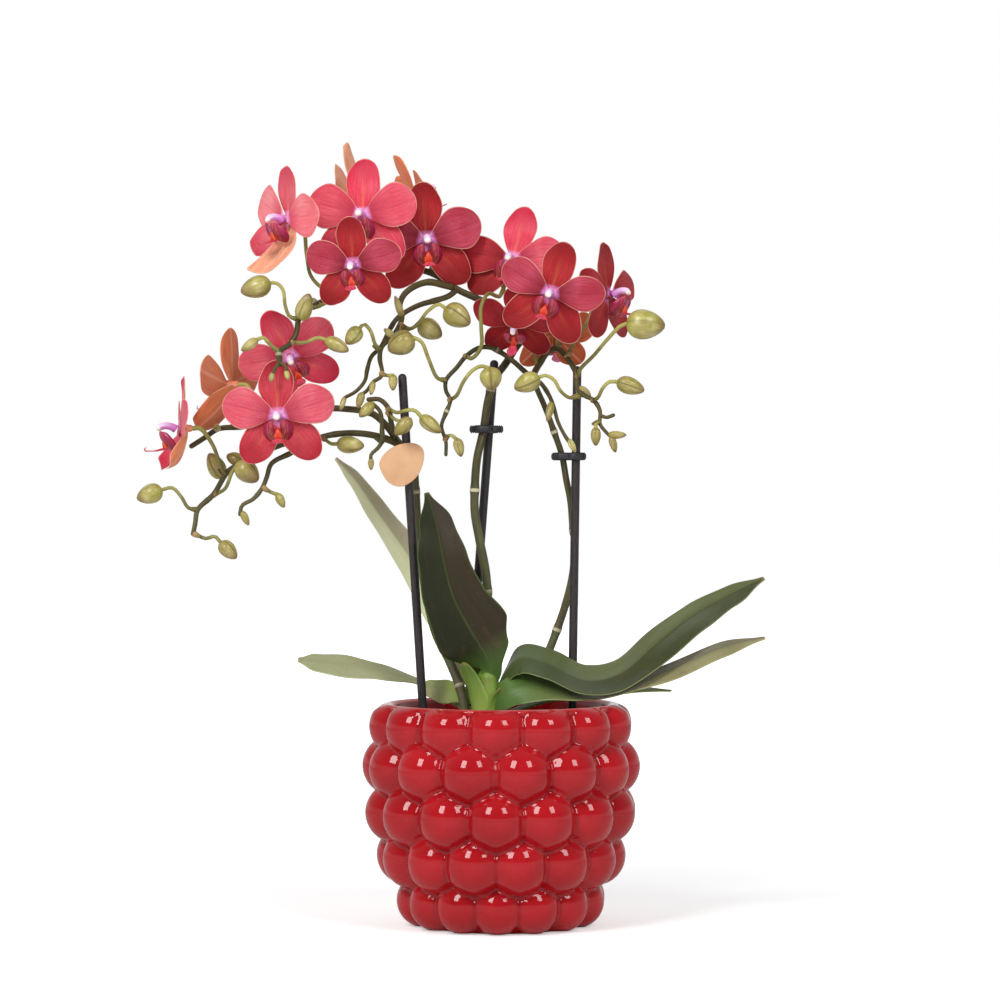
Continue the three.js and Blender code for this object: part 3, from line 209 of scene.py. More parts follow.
SPRAYS: dict[str, Spray] = {
    "left": Spray((
        Stem((2.2, 1.2), ((-16, 3, 84), (-16.5, 4, 97), (-19, 7, 108), (-24, 12, 120), (-30, 14, 132),
            (-35, 15, 153), (-38, 14, 176), (-39, 11, 196), (-41, 8, 213), (-47, 6, 220), (-52, 3, 227),
            (-59, 0, 233), (-71, -2, 235), (-82, 0, 235), (-94, 4, 232), (-106, 6, 230), (-118, 4, 227),
            (-129, 2, 226), (-135, 0, 222), (-141, -2, 218))),
        Stem((1.7, 0.9), ((-43, 7, 216), (-49, 4, 220), (-58, 1, 223), (-68, -2, 224), (-78, -4, 223),
            (-87, -6, 220), (-95, -8, 215), (-104, -10, 210), (-106, -11, 204), (-108, -12, 199),
            (-112, -13, 194), (-117, -14, 191), (-118, -14, 187))),
        Stem((1.5, 1.1), ((-85, -5, 221), (-96, -1, 220), (-107, 1, 216), (-116, 1, 211), (-124, 0, 207),
            (-131, -2, 196), (-138, -4, 189), (-139, -5, 183), (-140, -5, 178))),
        Stem((1.3, 1.1), ((-47, 6, 220), (-49, 1, 224), (-50, -5, 229), (-51, -9, 235), (-55, -10, 239),
            (-60, -10, 239))),
        Stem((1.2, 0.9), ((-57, 1, 222), (-54, -4, 220), (-54, -8, 225), (-54, -10, 230), (-55, -11, 234),
            (-58, -12, 237))),
        Stem((1, 0.8), ((-54, -4, 220), (-56, -6, 217), (-59, -7, 214), (-59, -7, 211))),
    ), (
        BudPlace((-165, -10, 194), 8.6, ((-138, -4, 189), (-142, -7, 190), (-145, -9, 195),
            (-149, -10, 199), (-154, -10, 198))),
        BudPlace((-120, -8, 167), 7, ((-139, -5, 178), (-134, -6, 176), (-130, -7, 177), (-127, -8, 174))),
        BudPlace((-110, -12, 202), 9.8, ((-130, -2, 196), (-125, -7, 199), (-122, -9, 206),
            (-119, -10, 210))),
        BudPlace((-134, 10, 215), 8.2, ((-124, 0, 207), (-125, 7, 206), (-128, 9, 204))),
        BudPlace((-126, 10, 214), 6.2, ((-116, 1, 211), (-118, 7, 211), (-119, 9, 211))),
        BudPlace((-98, -13, 190), 4.2, ((-107, -12, 199), (-104, -13, 197), (-101, -13, 196))),
        BudPlace((-114, -14, 182), 3.4, ((-117, -14, 188),)),
        BudPlace((-130, -6, 227), 3.6, ((-129, 1, 226),)),
        BudPlace((-62, -8, 218), 7.6, ((-81, -4, 222), (-77, -7, 219), (-74, -8, 219))),
        BudPlace((-64, -14, 231), 5.2, ((-58, -12, 237),)), BudPlace((-59, -7, 207), 2.8, ((-59, -7, 212),)),
        BudPlace((-48, -14, 223), 6.4, ((-51, -8, 233), (-48, -12, 230), (-44, -13, 229), (-41, -13, 230))),
        BudPlace((-27, -14, 224), 6.4, ((-51, -9, 235), (-47, -13, 233), (-43, -14, 234), (-39, -14, 234),
            (-36, -14, 231))),
    )),
    "middle": Spray((
        Stem((2.3, 1.2), ((-7, 9, 84), (-7, 9, 97), (-7, 10, 107), (-6, 12, 125), (-6, 12, 143),
            (-7, 10, 160), (-10, 8, 176), (-12, 7, 188), (-12, 7, 199), (-11, 7, 212), (-8, 8, 226),
            (-6, 9, 239), (-3, 9, 249), (2, 11, 256), (7, 15, 264), (11, 16, 270), (8, 13, 277),
            (0, 10, 281), (-9, 8, 285), (-20, 7, 290), (-27, 8, 295), (-33, 9, 298), (-41, 11, 300),
            (-49, 11, 301), (-60, 10, 299), (-69, 8, 294), (-75, 3, 288), (-81, -4, 284), (-87, -12, 280),
            (-91, -19, 275), (-92, -24, 268), (-95, -27, 263), (-99, -29, 260), (-99, -30, 254))),
        Stem((0.9, 0.8), ((-99, -30, 255), (-101, -31, 252), (-102, -31, 249))),
        Stem((0.8, 0.8), ((-99, -30, 255), (-96, -31, 253), (-96, -31, 250))),
        Stem((1.7, 0.8), ((-22, 7, 291), (-27, 4, 292), (-33, 1, 293), (-39, -2, 291), (-44, -4, 287),
            (-46, -5, 282), (-45, -6, 276), (-47, -7, 271), (-50, -7, 267), (-54, -8, 263), (-55, -8, 258),
            (-54, -8, 250), (-58, -8, 247), (-61, -7, 243), (-64, -7, 241))),
        Stem((1.4, 0.8), ((-20, 7, 290), (-24, 8, 287), (-30, 8, 285), (-37, 7, 283), (-43, 6, 280),
            (-48, 4, 276), (-51, 2, 271), (-55, 0, 263), (-59, -1, 259), (-61, -1, 253), (-62, -1, 248),
            (-66, -3, 243), (-71, -6, 240))),
    ), (
        BudPlace((-117, -22, 287), 9.6, ((-91, -19, 275), (-95, -21, 276), (-97, -22, 281), (-98, -22, 288),
            (-101, -22, 291), (-104, -22, 291))),
        BudPlace((-86, -25, 286), 7.6, ((-90, -20, 275),)),
        BudPlace((-116, -32, 260), 4.6, ((-99, -29, 260), (-102, -31, 262), (-106, -32, 266),
            (-109, -32, 265))),
        BudPlace((-68, -31, 260), 6.2, ((-94, -26, 264), (-87, -30, 264), (-82, -31, 266),
            (-78, -31, 265))),
        BudPlace((-70, -13, 264), 7.2, ((-55, -8, 262), (-57, -12, 264), (-59, -13, 270), (-62, -13, 273),
            (-64, -13, 271))),
        BudPlace((-48, -11, 286), 3.4, ((-45, -6, 277),)), BudPlace((-53, -10, 271), 3.4, ((-49, -7, 268),)),
        BudPlace((-14, -13, 273), 10.6, ((-45, -7, 273), (-41, -10, 271), (-37, -12, 274), (-33, -13, 279),
            (-28, -13, 282), (-25, -13, 280))),
        BudPlace((-27, -1, 268), 9.2, ((-46, -7, 272), (-43, -4, 271), (-40, -2, 272), (-37, -1, 274))),
        BudPlace((-49, -9, 243), 4.2, ((-54, -8, 251), (-52, -9, 250), (-49, -9, 250))),
        BudPlace((-65, -8, 235), 3.8, ((-63, -7, 242),)), BudPlace((-59, -10, 241), 3, ((-58, -8, 247),)),
        BudPlace((-73, -8, 234), 2.6, ((-71, -6, 240),)),
        BudPlace((-103, -31, 246), 2.6, ((-102, -31, 250),)),
        BudPlace((-95, -31, 247), 2.6, ((-96, -31, 251),)),
    )),
    "right": Spray((
        Stem((2.2, 0.8), ((-1, 8, 84), (-1, 8, 97), (4, 12, 102), (12, 16, 108), (19, 19, 117),
            (23, 19, 126), (26, 19, 134), (30, 18, 146), (33, 17, 159), (34, 17, 172), (33, 16, 182),
            (32, 15, 193), (30, 13, 203), (28, 11, 214), (25, 10, 223), (21, 9, 234), (18, 8, 241),
            (14, 7, 249), (9, 6, 254), (3, 5, 259), (-4, 4, 263), (-10, 2, 263), (-16, 0, 259),
            (-20, -2, 254), (-25, -4, 248), (-25, -5, 243), (-23, -6, 239), (-25, -7, 233), (-27, -8, 227),
            (-25, -8, 220), (-25, -8, 214))),
        Stem((1.6, 0.8), ((14, 7, 249), (17, 13, 255), (22, 14, 262), (26, 12, 263), (30, 8, 259),
            (34, 3, 252), (35, -1, 244), (38, -3, 241), (42, -4, 239), (45, -5, 234), (45, -6, 228),
            (48, -7, 224), (50, -7, 222))),
        Stem((1.1, 0.8), ((15, 7, 248), (18, 1, 247), (22, -2, 241), (24, -2, 236), (26, -2, 229),
            (29, -2, 223), (31, -2, 220))),
        Stem((0.8, 0.9), ((45, -5, 232), (48, -7, 231), (51, -8, 232))),
    ), (
        BudPlace((-51, -15, 261), 10.8, ((-25, -4, 248), (-29, -9, 249), (-33, -13, 258), (-36, -15, 265),
            (-40, -15, 267))),
        BudPlace((-4, -13, 243), 9.6, ((-23, -6, 239), (-20, -10, 241), (-17, -12, 247), (-13, -13, 252),
            (-9, -13, 254), (-5, -13, 253))),
        BudPlace((-18, -10, 213), 4.8, ((-25, -8, 221), (-23, -10, 223), (-20, -10, 221))),
        BudPlace((6, -9, 244), 8.8, ((36, -2, 241), (31, -6, 240), (27, -8, 243), (24, -9, 248),
            (20, -9, 250), (17, -9, 249))),
        BudPlace((74, -19, 272), 13, ((35, 1, 250), (36, -2, 253), (42, -7, 259), (48, -12, 266),
            (54, -17, 272), (57, -18, 273))),
        BudPlace((65, -10, 243), 7.6, ((42, -4, 239), (44, -8, 240), (46, -10, 244), (49, -10, 247),
            (53, -10, 247))),
        BudPlace((43, -8, 218), 4.6, ((45, -6, 229), (43, -8, 228), (43, -8, 226))),
        BudPlace((57, -8, 223), 3.8, ((49, -7, 223),)), BudPlace((52, -7, 215), 3.6, ((50, -7, 222),)),
        BudPlace((41, 4, 241), 5, ((35, -1, 244),)), BudPlace((21, -6, 229), 3.6, ((23, -2, 238),)),
        BudPlace((34, -2, 215), 3, ((31, -2, 221),)),
    )),
}

FLOWER_PLACES: dict[str, FlowerPlace] = {
    "01": FlowerPlace((-98, -6, 321), -52, -4, -4, 1, "middle", ((-75, 3, 288), (-81, 6, 290),
        (-87, 7, 296), (-89, 8, 305)), LowerSepals.FOLDED, breadth=1.12, petals=(160.0, 6.0)),
    "02": FlowerPlace((-63, -8, 322.5), -8, 0, 0, 1.05, "middle", ((-56, 10, 300), (-56, 11, 306),
        (-58, 8, 314)), breadth=1.1),
    "03": FlowerPlace((-66, -36, 298), -6, -10, 2, 0.9, "middle", ((-87, -12, 280), (-82, -16, 281),
        (-75, -20, 285))),
    "04": FlowerPlace((-34, 0, 312), 4, -5, 4, 1.07, "middle", ((-33, 9, 298), (-32, 15, 302)),
        breadth=1.05),
    "05": FlowerPlace((5, 4, 303.5), -12, 0, -14, 1, "right", ((-16, 0, 259), (-13, -5, 258), (-9, -8, 263),
        (-9, -11, 272), (-9, -12, 281), (-6, -8, 287), (-2, 0, 286.5), (0, 11, 288), (3, 14, 296)),
        petals=(184.0, 18.0)),
    "06": FlowerPlace((22, -24, 286), -6, -6, -17, 1, "middle", ((11, 16, 270), (17, 13, 276), (26, 8, 284),
        (28, -4, 290)), breadth=0.92),
    "07": FlowerPlace((50, -2, 287), 56, 4, 2, 0.98, "right", ((30, 8, 259), (35, 10, 268), (41, 10, 278)),
        breadth=0.85),
    "08": FlowerPlace((7, -2, 274), -14, -34, -8, 0.86, "right", ((17, 13, 255), (15, 14, 262),
        (12, 11, 271))),
    "09": FlowerPlace((-96, 2, 258.5), 4, -16, 25, 0.98, "middle", ((-83, -7, 282), (-86, 2, 285),
        (-91, 12, 281), (-95, 15, 270))),
    "10": FlowerPlace((-100, -26, 231), 0, -4, 4, 1.05, "left", ((-94, 4, 232), (-96, -4, 231))),
    "11": FlowerPlace((-125.3, 11, 246.3), -120, 0, -4, 1.05, "left", ((-118, 4, 227), (-116, 5, 236),
        (-114.5, 5, 243)), LowerSepals.FORWARD),
    "12": FlowerPlace((-145.5, -10, 226), -80, 0, 0, 0.98, "left", ((-126, -1, 205), (-128, -6, 211),
        (-131, -9, 219)), LowerSepals.FORWARD),
    "13": FlowerPlace((-69, 26, 336), -110, -10, 0, 0.95, "middle", ((-60, 10, 299), (-58, 14, 310),
        (-56, 22, 326))),
    "14": FlowerPlace((-38.5, 34, 335.5), 108, 28, 0, 0.9, "middle", ((-41, 11, 300), (-46, 20, 308),
        (-54, 30, 323))),
    "15": FlowerPlace((25, 30, 270), 165, -22, 0, 0.85, "right", ((26, 12, 263), (26, 16, 267))),
    "16": FlowerPlace((12, 34, 308), 100, 4, 0, 0.9, "middle", ((8, 13, 277), (4, 19, 284), (0, 28, 298))),
}


# Shaping helpers


def mix(first: float, second: float, share: float) -> float:
    """The value a share of the way from the first to the second."""
    return first + (second - first) * share


def clamp(value: float) -> float:
    """The value, kept between 0 and 1."""
    return min(max(value, 0.0), 1.0)


def turn_share(point: Vector) -> float:
    """The share of the way round the z axis at which a point lies."""
    return math.atan2(point.y, point.x) / FULL_TURN + 0.5


def eased(values: Sequence[float], share: float) -> float:
    """A value read from evenly spaced ones with an easy change between neighbours.

    Args:
        values: The values from the root to the tip.
        share: Where to read, from 0 to 1.

    Returns:
        The value there.
    """
    place = clamp(share) * (len(values) - 1)
    low = min(int(place), len(values) - 2)
    part = place - low
    return mix(values[low], values[low + 1], part * part * (3 - 2 * part))


class Route:
    """A smooth line through points, the same centripetal curve as the solids follow."""

    def __init__(self, points: Iterable[Point | Vector]) -> None:
        """Keeps the points, with one more past each end.

        Args:
            points: At least two points.
        """
        inner = [Vector(point) for point in points]
        self.spans = len(inner) - 1
        self.points = [2 * inner[0] - inner[1], *inner, 2 * inner[-1] - inner[-2]]

    def point(self, share: float) -> Vector:
        """The point at a share of the line, every span taking the same part of it.

        Args:
            share: From 0 at the root to 1 at the end.

        Returns:
            The point.
        """
        place = clamp(share) * self.spans
        span = min(int(place), self.spans - 1)
        part = place - span
        before, start, end, after = self.points[span:span + 4]
        pairs = ((before, start), (start, end), (end, after))
        first, own, last = (max((b - a).length_squared, 1e-8) ** 0.25 for a, b in pairs)
        leave = (start - before) / first - (end - before) / (first + own) + (end - start) / own
        reach = (end - start) / own - (after - start) / (own + last) + (after - end) / last
        leave, reach = leave * own, reach * own
        square, cube = part * part, part ** 3
        return (start + leave * part + (3 * (end - start) - 2 * leave - reach) * square
                + (2 * (start - end) + leave + reach) * cube)

    def tangent(self, share: float) -> Vector:
        """The direction of the line at a share of it."""
        return (self.point(min(1, share + 1e-4)) - self.point(max(0, share - 1e-4))).normalized()

    def frames(self, step: float) -> list[tuple[float, Matrix]]:
        """Evenly spaced frames along the line that don't twist about it.

        Args:
            step: The largest distance between neighbours.

        Returns:
            The length run so far and the frame, its z along the line, for each place.
        """
        fine = [index / (self.spans * 8) for index in range(self.spans * 8 + 1)]
        runs = [0.0]
        for low, high in zip(fine, fine[1:]):
            runs.append(runs[-1] + (self.point(high) - self.point(low)).length)
        count = max(2, math.ceil(runs[-1] / step))
        frames = []
        side = Vector()
        cell = 0
        for index in range(count + 1):
            run = runs[-1] * index / count
            while cell < len(runs) - 2 and runs[cell + 1] < run:
                cell += 1
            part = (run - runs[cell]) / max(runs[cell + 1] - runs[cell], 1e-9)
            share = mix(fine[cell], fine[cell + 1], clamp(part))
            along = self.tangent(share)
            if not frames:
                side = along.cross(Vector((1, 0, 0)) if abs(along.z) > 0.9 else Vector((0, 0, 1)))
            side = (side - along * side.dot(along)).normalized()
            turned = Matrix((side, along.cross(side), along)).transposed().to_4x4()
            frames.append((run, Matrix.Translation(self.point(share)) @ turned))
        return frames


class Piece:
    """One piece in the making: a closed mesh in millimetres with a growth colour on every vertex.

    The growth colour tells a finish where on the piece a point is, such as how far along a petal.
    """

    dome_rings: ClassVar[tuple[tuple[float, float], ...]] = ((0.4, 0.88), (0.72, 0.6), (0.88, 0.25))

    def __init__(self, name: str) -> None:
        """Starts an empty mesh.

        Args:
            name: The name of the object to be.
        """
        self.name = name
        self.mesh = bmesh.new()
        self.growth = self.mesh.verts.layers.float_color.new("growth")
        self.coat = 0

    def mark(self, verts: Iterable[bmesh.types.BMVert],
             growth: Callable[[bmesh.types.BMVert], Growth] | Growth) -> None:
        """Gives vertices their growth colour, and the faces between them the present coat.

        Args:
            verts: The vertices.
            growth: The colour, or what gives it for a vertex.
        """
        for vert in verts:
            vert[self.growth] = growth(vert) if callable(growth) else growth
            for face in vert.link_faces:
                face.material_index = self.coat

    def blade(self, middle: Shape, cells: tuple[int, int], thickness: Measure, growth: Growing,
              placed: Matrix = Matrix.Identity(4)) -> None:
        """Makes a thin closed blade from a grid that is doubled and bent to shape.

        Args:
            middle: The blade's middle face, for u from 0 to 1 and v from -1 to 1.
            cells: How many cells it has along and across.
            thickness: Its thickness at u and v.
            growth: The growth colour at u and v, and at side 0 in front or 1 behind.
            placed: The move to its place.
        """
        grid = bmesh.ops.create_grid(self.mesh, x_segments=cells[0], y_segments=cells[1], size=1.0)
        front = grid["verts"]
        sheet = list({face for vert in front for face in vert.link_faces})
        doubled = bmesh.ops.extrude_face_region(self.mesh, geom=sheet, use_keep_orig=True)["geom"]
        back = {item for item in doubled if isinstance(item, bmesh.types.BMVert)}
        step = 1e-3
        known: dict[tuple[float, float], tuple[Vector, Vector]] = {}
        for vert in [*front, *back]:
            u, v = (vert.co.x + 1) / 2, vert.co.y
            key = (round(u, 5), round(v, 5))
            if key not in known:
                here = middle(u, v)
                along = middle(u + step, v) - middle(u - step, v)
                across = middle(u, v + step) - middle(u, v - step)
                known[key] = (here, along.cross(across).normalized() * thickness(u, v) / 2)
            here, half = known[key]
            behind = vert in back
            vert.co = placed @ (here - half if behind else here + half)
            vert[self.growth] = growth(u, v, 1.0 if behind else 0.0)
            for face in vert.link_faces:
                face.material_index = self.coat

    def tube(self, route: Route, radius: Measure, sides: int, step: float, growth: Growing,
             dome: bool = False) -> None:
        """Makes a closed tube by drawing a circle out along a route.

        Args:
            route: The line that it follows.
            radius: Its radius for the share of the length run and the length run.
            sides: How many sides it has.
            step: The largest distance between rings.
            growth: The growth colour for the share run, the length run and the share round the tube.
            dome: Whether its far end is rounded.
        """
        frames = route.frames(step)
        whole = frames[-1][0]
        rings = [(run, place @ Matrix.Scale(radius(run / whole, run), 4)) for run, place in frames]
        if dome:
            end = rings[-1][1]
            rings += [(whole, end @ Matrix.Translation((0, 0, rise)) @ Matrix.Diagonal((size, size, 1, 1)))
                      for rise, size in self.dome_rings]
        ring = bmesh.ops.create_circle(self.mesh, cap_ends=True, radius=1.0, segments=sides)["verts"]
        edges = {edge for vert in ring for edge in vert.link_edges}
        self.coil(ring, rings[0], whole, growth)
        for (_, before), after in zip(rings, rings[1:]):
            drawn = bmesh.ops.extrude_edge_only(self.mesh, edges=list(edges))["geom"]
            fresh = [item for item in drawn if isinstance(item, bmesh.types.BMVert)]
            edges = {item for item in drawn if isinstance(item, bmesh.types.BMEdge)
                     and all(vert in fresh for vert in item.verts)}
            local = before.inverted()
            for vert in fresh:
                vert.co = local @ vert.co
            self.coil(fresh, after, whole, growth)
        bmesh.ops.contextual_create(self.mesh, geom=list(edges), mat_nr=self.coat)

    def coil(self, ring: Iterable[bmesh.types.BMVert], placed: tuple[float, Matrix], whole: float,
             growth: Growing) -> None:
        """Puts a unit ring of a tube in its place and marks it.

        Args:
            ring: The ring's vertices, still on the unit circle.
            placed: The length run and the ring's frame.
            whole: The tube's whole length.
            growth: The growth colour, as the tube takes it.
        """
        run, place = placed
        self.mark(ring, lambda vert: growth(run / whole, run, turn_share(vert.co)))
        for vert in ring:
            vert.co = place @ vert.co

    def ball(self, placed: Matrix, segments: tuple[int, int], shape: Callable[[Vector], Vector],
             growth: Callable[[Vector], Growth]) -> None:
        """Makes a closed rounded form from a sphere that a formula bends.

        Args:
            placed: The move to its place.
            segments: How many segments it has round and from pole to pole.
            shape: Where a point of the unit sphere goes.
            growth: The growth colour at a point of the unit sphere.
        """
        verts = bmesh.ops.create_uvsphere(
            self.mesh, u_segments=segments[0], v_segments=segments[1], radius=1.0)["verts"]
        self.mark(verts, lambda vert: growth(vert.co))
        for vert in verts:
            vert.co = placed @ shape(vert.co)

    def spin(self, section: Sequence[tuple[float, float]], steps: int, growth: Sequence[Growth] = ()) -> None:
        """Spins a half section about the upright axis.

        Args:
            section: The radius and the height of its points, from the axis round to the axis.
            steps: How many steps make the turn.
            growth: The growth colour of each point, where it has one.
        """
        verts = [self.mesh.verts.new((radius, 0.0, height)) for radius, height in section]
        for vert, colour in zip(verts, growth):
            vert[self.growth] = colour
        edges = [self.mesh.edges.new(pair) for pair in zip(verts, verts[1:])]
        bmesh.ops.spin(self.mesh, geom=[*verts, *edges], axis=(0, 0, 1), cent=(0, 0, 0), angle=FULL_TURN,
                       steps=steps, use_merge=True)

    def ring(self, at: Vector, inner: float, size: tuple[float, float], steps: int,
             flat: float = 1.0) -> None:
        """Adds a rounded ring about an upright rod.

        Args:
            at: Its middle.
            inner: Its inner radius.
            size: The width and the height of its section.
            steps: How many steps make the turn.
            flat: 1 for a section like an ellipse, and less for one with flatter ends.
        """
        section = bmesh.ops.create_circle(self.mesh, cap_ends=False, radius=1.0, segments=12)["verts"]
        for vert in section:
            across, up = vert.co.x, vert.co.y
            rise = math.copysign(abs(up) ** flat, up)
            vert.co = at + Vector((inner + size[0] / 2 * (1 + across), 0, size[1] / 2 * rise))
        edges = {edge for vert in section for edge in vert.link_edges}
        bmesh.ops.spin(self.mesh, geom=[*section, *edges], axis=(0, 0, 1), cent=at, angle=FULL_TURN,
                       steps=steps, use_merge=True)

    def soften(self, edges: Iterable[bmesh.types.BMEdge], offset: float,
               segments: int = 3) -> list[bmesh.types.BMVert]:
        """Bevels edges with an offset and a number of segments, and gives the bevel's vertices."""
        return bmesh.ops.bevel(self.mesh, geom=list(edges), offset=offset, offset_type="OFFSET",
                               affect="EDGES", segments=segments, profile=0.5, material=-1)["verts"]

    def finish(self, node: str, slot: str, coats: Sequence[bpy.types.Material], levels: int = 0,
               weld: float = 0.0) -> None:
        """Turns the mesh into an object of the scene that stands for its CAD node.

        Args:
            node: The node that it replaces.
            slot: The record's material slot that it takes its finish from; not used.
            coats: Its materials.
            levels: Levels of subdivision surface.
            weld: The distance under which vertices are merged, or 0 to leave them.
        """
        if weld:
            bmesh.ops.remove_doubles(self.mesh, verts=self.mesh.verts, dist=weld)
        bmesh.ops.transform(self.mesh, matrix=Matrix.Scale(METRE, 4), verts=self.mesh.verts)
        bmesh.ops.recalc_face_normals(self.mesh, faces=self.mesh.faces)
        for face in self.mesh.faces:
            face.smooth = True
        mesh = bpy.data.meshes.new(self.name)
        self.mesh.to_mesh(mesh)
        self.mesh.free()
        for coat in coats:
            mesh.materials.append(coat)
        item = bpy.data.objects.new(self.name, mesh)
        bpy.context.collection.objects.link(item)
        if levels:
            rounding = item.modifiers.new("rounding", "SUBSURF")
            rounding.levels = rounding.render_levels = levels
        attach(item, "root")
        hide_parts(node)
        LOG.info("%s: %d faces", self.name, len(mesh.polygons))


# Finishes


class Recipe:
    """A material in the making: its principled shader and the nodes that feed it."""

    def __init__(self, name: str, roughness: float, **fixed: float | tuple[float, ...]) -> None:
        """Starts a material.

        Args:
            name: Its name.
            roughness: Its roughness where nothing feeds it.
            fixed: Other values of the principled shader, by the names of its sockets with _ for a space.
        """
        self.material = bpy.data.materials.new(name)
        self.material.use_nodes = True
        self.tree = self.material.node_tree
        self.shader = self.tree.nodes["Principled BSDF"]
        self.shader.inputs["Roughness"].default_value = roughness
        for socket, value in fixed.items():
            self.shader.inputs[socket.replace("_", " ")].default_value = value

    def node(self, kind: str, feeds: dict[str | int, object] | None = None,
             **settings: object) -> bpy.types.Node:
        """Adds a node.

        Args:
            kind: Its type.
            feeds: What its inputs take, a value or another node's output, by name or place.
            settings: Its own settings.

        Returns:
            The node.
        """
        node = self.tree.nodes.new(kind)
        for setting, value in settings.items():
            setattr(node, setting, value)
        for socket, value in (feeds or {}).items():
            self.feed(node.inputs[socket], value)
        return node

    def feed(self, socket: Socket, value: object) -> None:
        """Links an output to a socket, or sets the socket's own value.

        Args:
            socket: The socket.
            value: The output or the value.
        """
        if isinstance(value, bpy.types.NodeSocket):
            self.tree.links.new(value, socket)
        else:
            socket.default_value = value

    def growth(self) -> tuple[Socket, Socket, Socket, Socket]:
        """Reads the piece's growth colour.

        Returns:
            Its four numbers.
        """
        read = self.node("ShaderNodeAttribute", attribute_name="growth")
        split = self.node("ShaderNodeSeparateXYZ", {0: read.outputs["Vector"]})
        return (*split.outputs, read.outputs["Alpha"])

    def place(self) -> Socket:
        """The point in the object's own coordinates, in metres."""
        return self.node("ShaderNodeTexCoord").outputs["Object"]

    def math(self, operation: str, *values: float | Socket) -> Socket:
        """The result of a Math node's operation on values."""
        return self.node("ShaderNodeMath", dict(enumerate(values)), operation=operation).outputs[0]

    def vector(self, *parts: float | Socket) -> Socket:
        """A vector from three numbers."""
        return self.node("ShaderNodeCombineXYZ", dict(enumerate(parts))).outputs[0]

    def noise(self, vector: Socket, scale: float, detail: float = 3.0, distortion: float = 0.0) -> Socket:
        """A noise between 0 and 1, read at a vector."""
        feeds = {"Vector": vector, "Scale": scale, "Detail": detail, "Distortion": distortion}
        return self.node("ShaderNodeTexNoise", feeds).outputs[0]

    def off_middle(self, across: Socket) -> Socket:
        """How far a share across a blade is from its midrib."""
        return self.math("ABSOLUTE", self.math("SUBTRACT", across, 0.5))

    def grain(self, along: Socket, across: Socket, apart: float | Socket, cells: tuple[float, float],
              detail: float = 2.0, distortion: float = 0.0) -> Socket:
        """A noise drawn out along a piece, with so many cells along and across it."""
        place = (self.math("MULTIPLY", share, count) for share, count in zip((along, across), cells))
        return self.noise(self.vector(*place, apart), 1.0, detail, distortion)

    def steps(self, factor: Socket, *stops: tuple[float, str | float]) -> Socket:
        """A colour ramp.

        Args:
            factor: What runs along the ramp.
            stops: Places and the colours there, as hex codes or greys.

        Returns:
            The ramp's colour.
        """
        node = self.node("ShaderNodeValToRGB", {0: factor})
        elements = node.color_ramp.elements
        while len(elements) < len(stops):
            elements.new(0.5)
        for element, (place, colour) in zip(elements, stops):
            element.position = place
            element.color = dye(colour)
        return node.outputs["Color"]

    def blend(self, factor: float | Socket, first: object, second: object, kind: str = "MIX") -> Socket:
        """Two colours mixed, by the share of the second."""
        feeds = {0: factor, 6: dye(first) if isinstance(first, str) else first,
                 7: dye(second) if isinstance(second, str) else second}
        return self.node("ShaderNodeMix", feeds, data_type="RGBA", blend_type=kind).outputs[2]

    def lay(self, below: object, above: object, mask: Socket, span: tuple[float, float],
            shares: tuple[float, float] = (0.0, 1.0), kind: str = "MIX") -> Socket:
        """One colour laid on another, by the shares that a ramp gives over a span of the mask."""
        return self.blend(self.steps(mask, *zip(span, shares)), below, above, kind)

    def done(self, colour: Socket, height: Socket, relief: float = 0.3, depth: float = 0.0002,
             roughness: Socket | None = None) -> bpy.types.Material:
        """Feeds the shader and gives the material.

        Args:
            colour: The base colour.
            height: The height of the fine relief.
            relief: How strong the relief is.
            depth: How deep it is in metres.
            roughness: The roughness, where it isn't the same all over.

        Returns:
            The material.
        """
        self.feed(self.shader.inputs["Base Color"], colour)
        if roughness is not None:
            self.feed(self.shader.inputs["Roughness"], roughness)
        feeds = {"Strength": relief, "Distance": depth, "Height": height}
        self.feed(self.shader.inputs["Normal"], self.node("ShaderNodeBump", feeds).outputs[0])
        return self.material


def dye(colour: str | float) -> tuple[float, float, float, float]:
    """A colour as the shader takes it.

    Args:
        colour: A hex code as a screen shows it, or a grey that is already linear.

    Returns:
        Its linear red, green and blue, and 1.
    """
    if not isinstance(colour, str):
        return (colour, colour, colour, 1.0)
    parts = [int(colour[place:place + 2], 16) / 255 for place in (1, 3, 5)]
    return (*(part / 12.92 if part <= 0.04045 else ((part + 0.055) / 1.055) ** 2.4 for part in parts), 1.0)


@dataclass(frozen=True)
class GlazeFinish:
    """Glossy deep red glaze: painted shade in the creases and on the inner wall, paler on the rim, bare clay
    under the foot.
    """

    red: str = "#a3121a"
    lit: str = "#b21820"
    # painted shade: the colour laid along the creases and over the inner wall, and in a few random dark
    # specks
    crease: str = "#8a0810"
    rim: str = "#c66a66"
    clay: str = "#cdbfae"

    def made(self) -> bpy.types.Material:
        """Makes the material, reading the crease mask of painted shade, height share, foot and rim from the
        growth colour.

        Returns:
            The material.
        """
        recipe = Recipe("glaze", 0.12, Specular_IOR_Level=0.36)
        crease, _, foot, rim = recipe.growth()
        place = recipe.place()
        cloud = recipe.noise(place, 45.0)
        speck = recipe.noise(place, 420.0, 2.0)
        body = recipe.lay(self.red, self.lit, cloud, (0.35, 0.7))
        # painted shade along the creases and over the inner wall
        body = recipe.lay(body, self.crease, crease, (0.15, 1.0))
        body = recipe.lay(body, self.crease, speck, (0.62, 0.8), (0.0, 0.25))
        body = recipe.lay(body, self.rim, rim, (0.2, 1.0), (0.0, 0.75))
        bare = recipe.steps(foot, (0.45, 0.0), (0.55, 1.0))
        colour = recipe.blend(bare, body, self.clay)
        rough = recipe.math("MULTIPLY_ADD", bare, 0.6, recipe.math("MULTIPLY_ADD", cloud, 0.06, 0.03))
        return recipe.done(colour, recipe.noise(place, 130.0, 2.0), 0.12, 0.0004, rough)


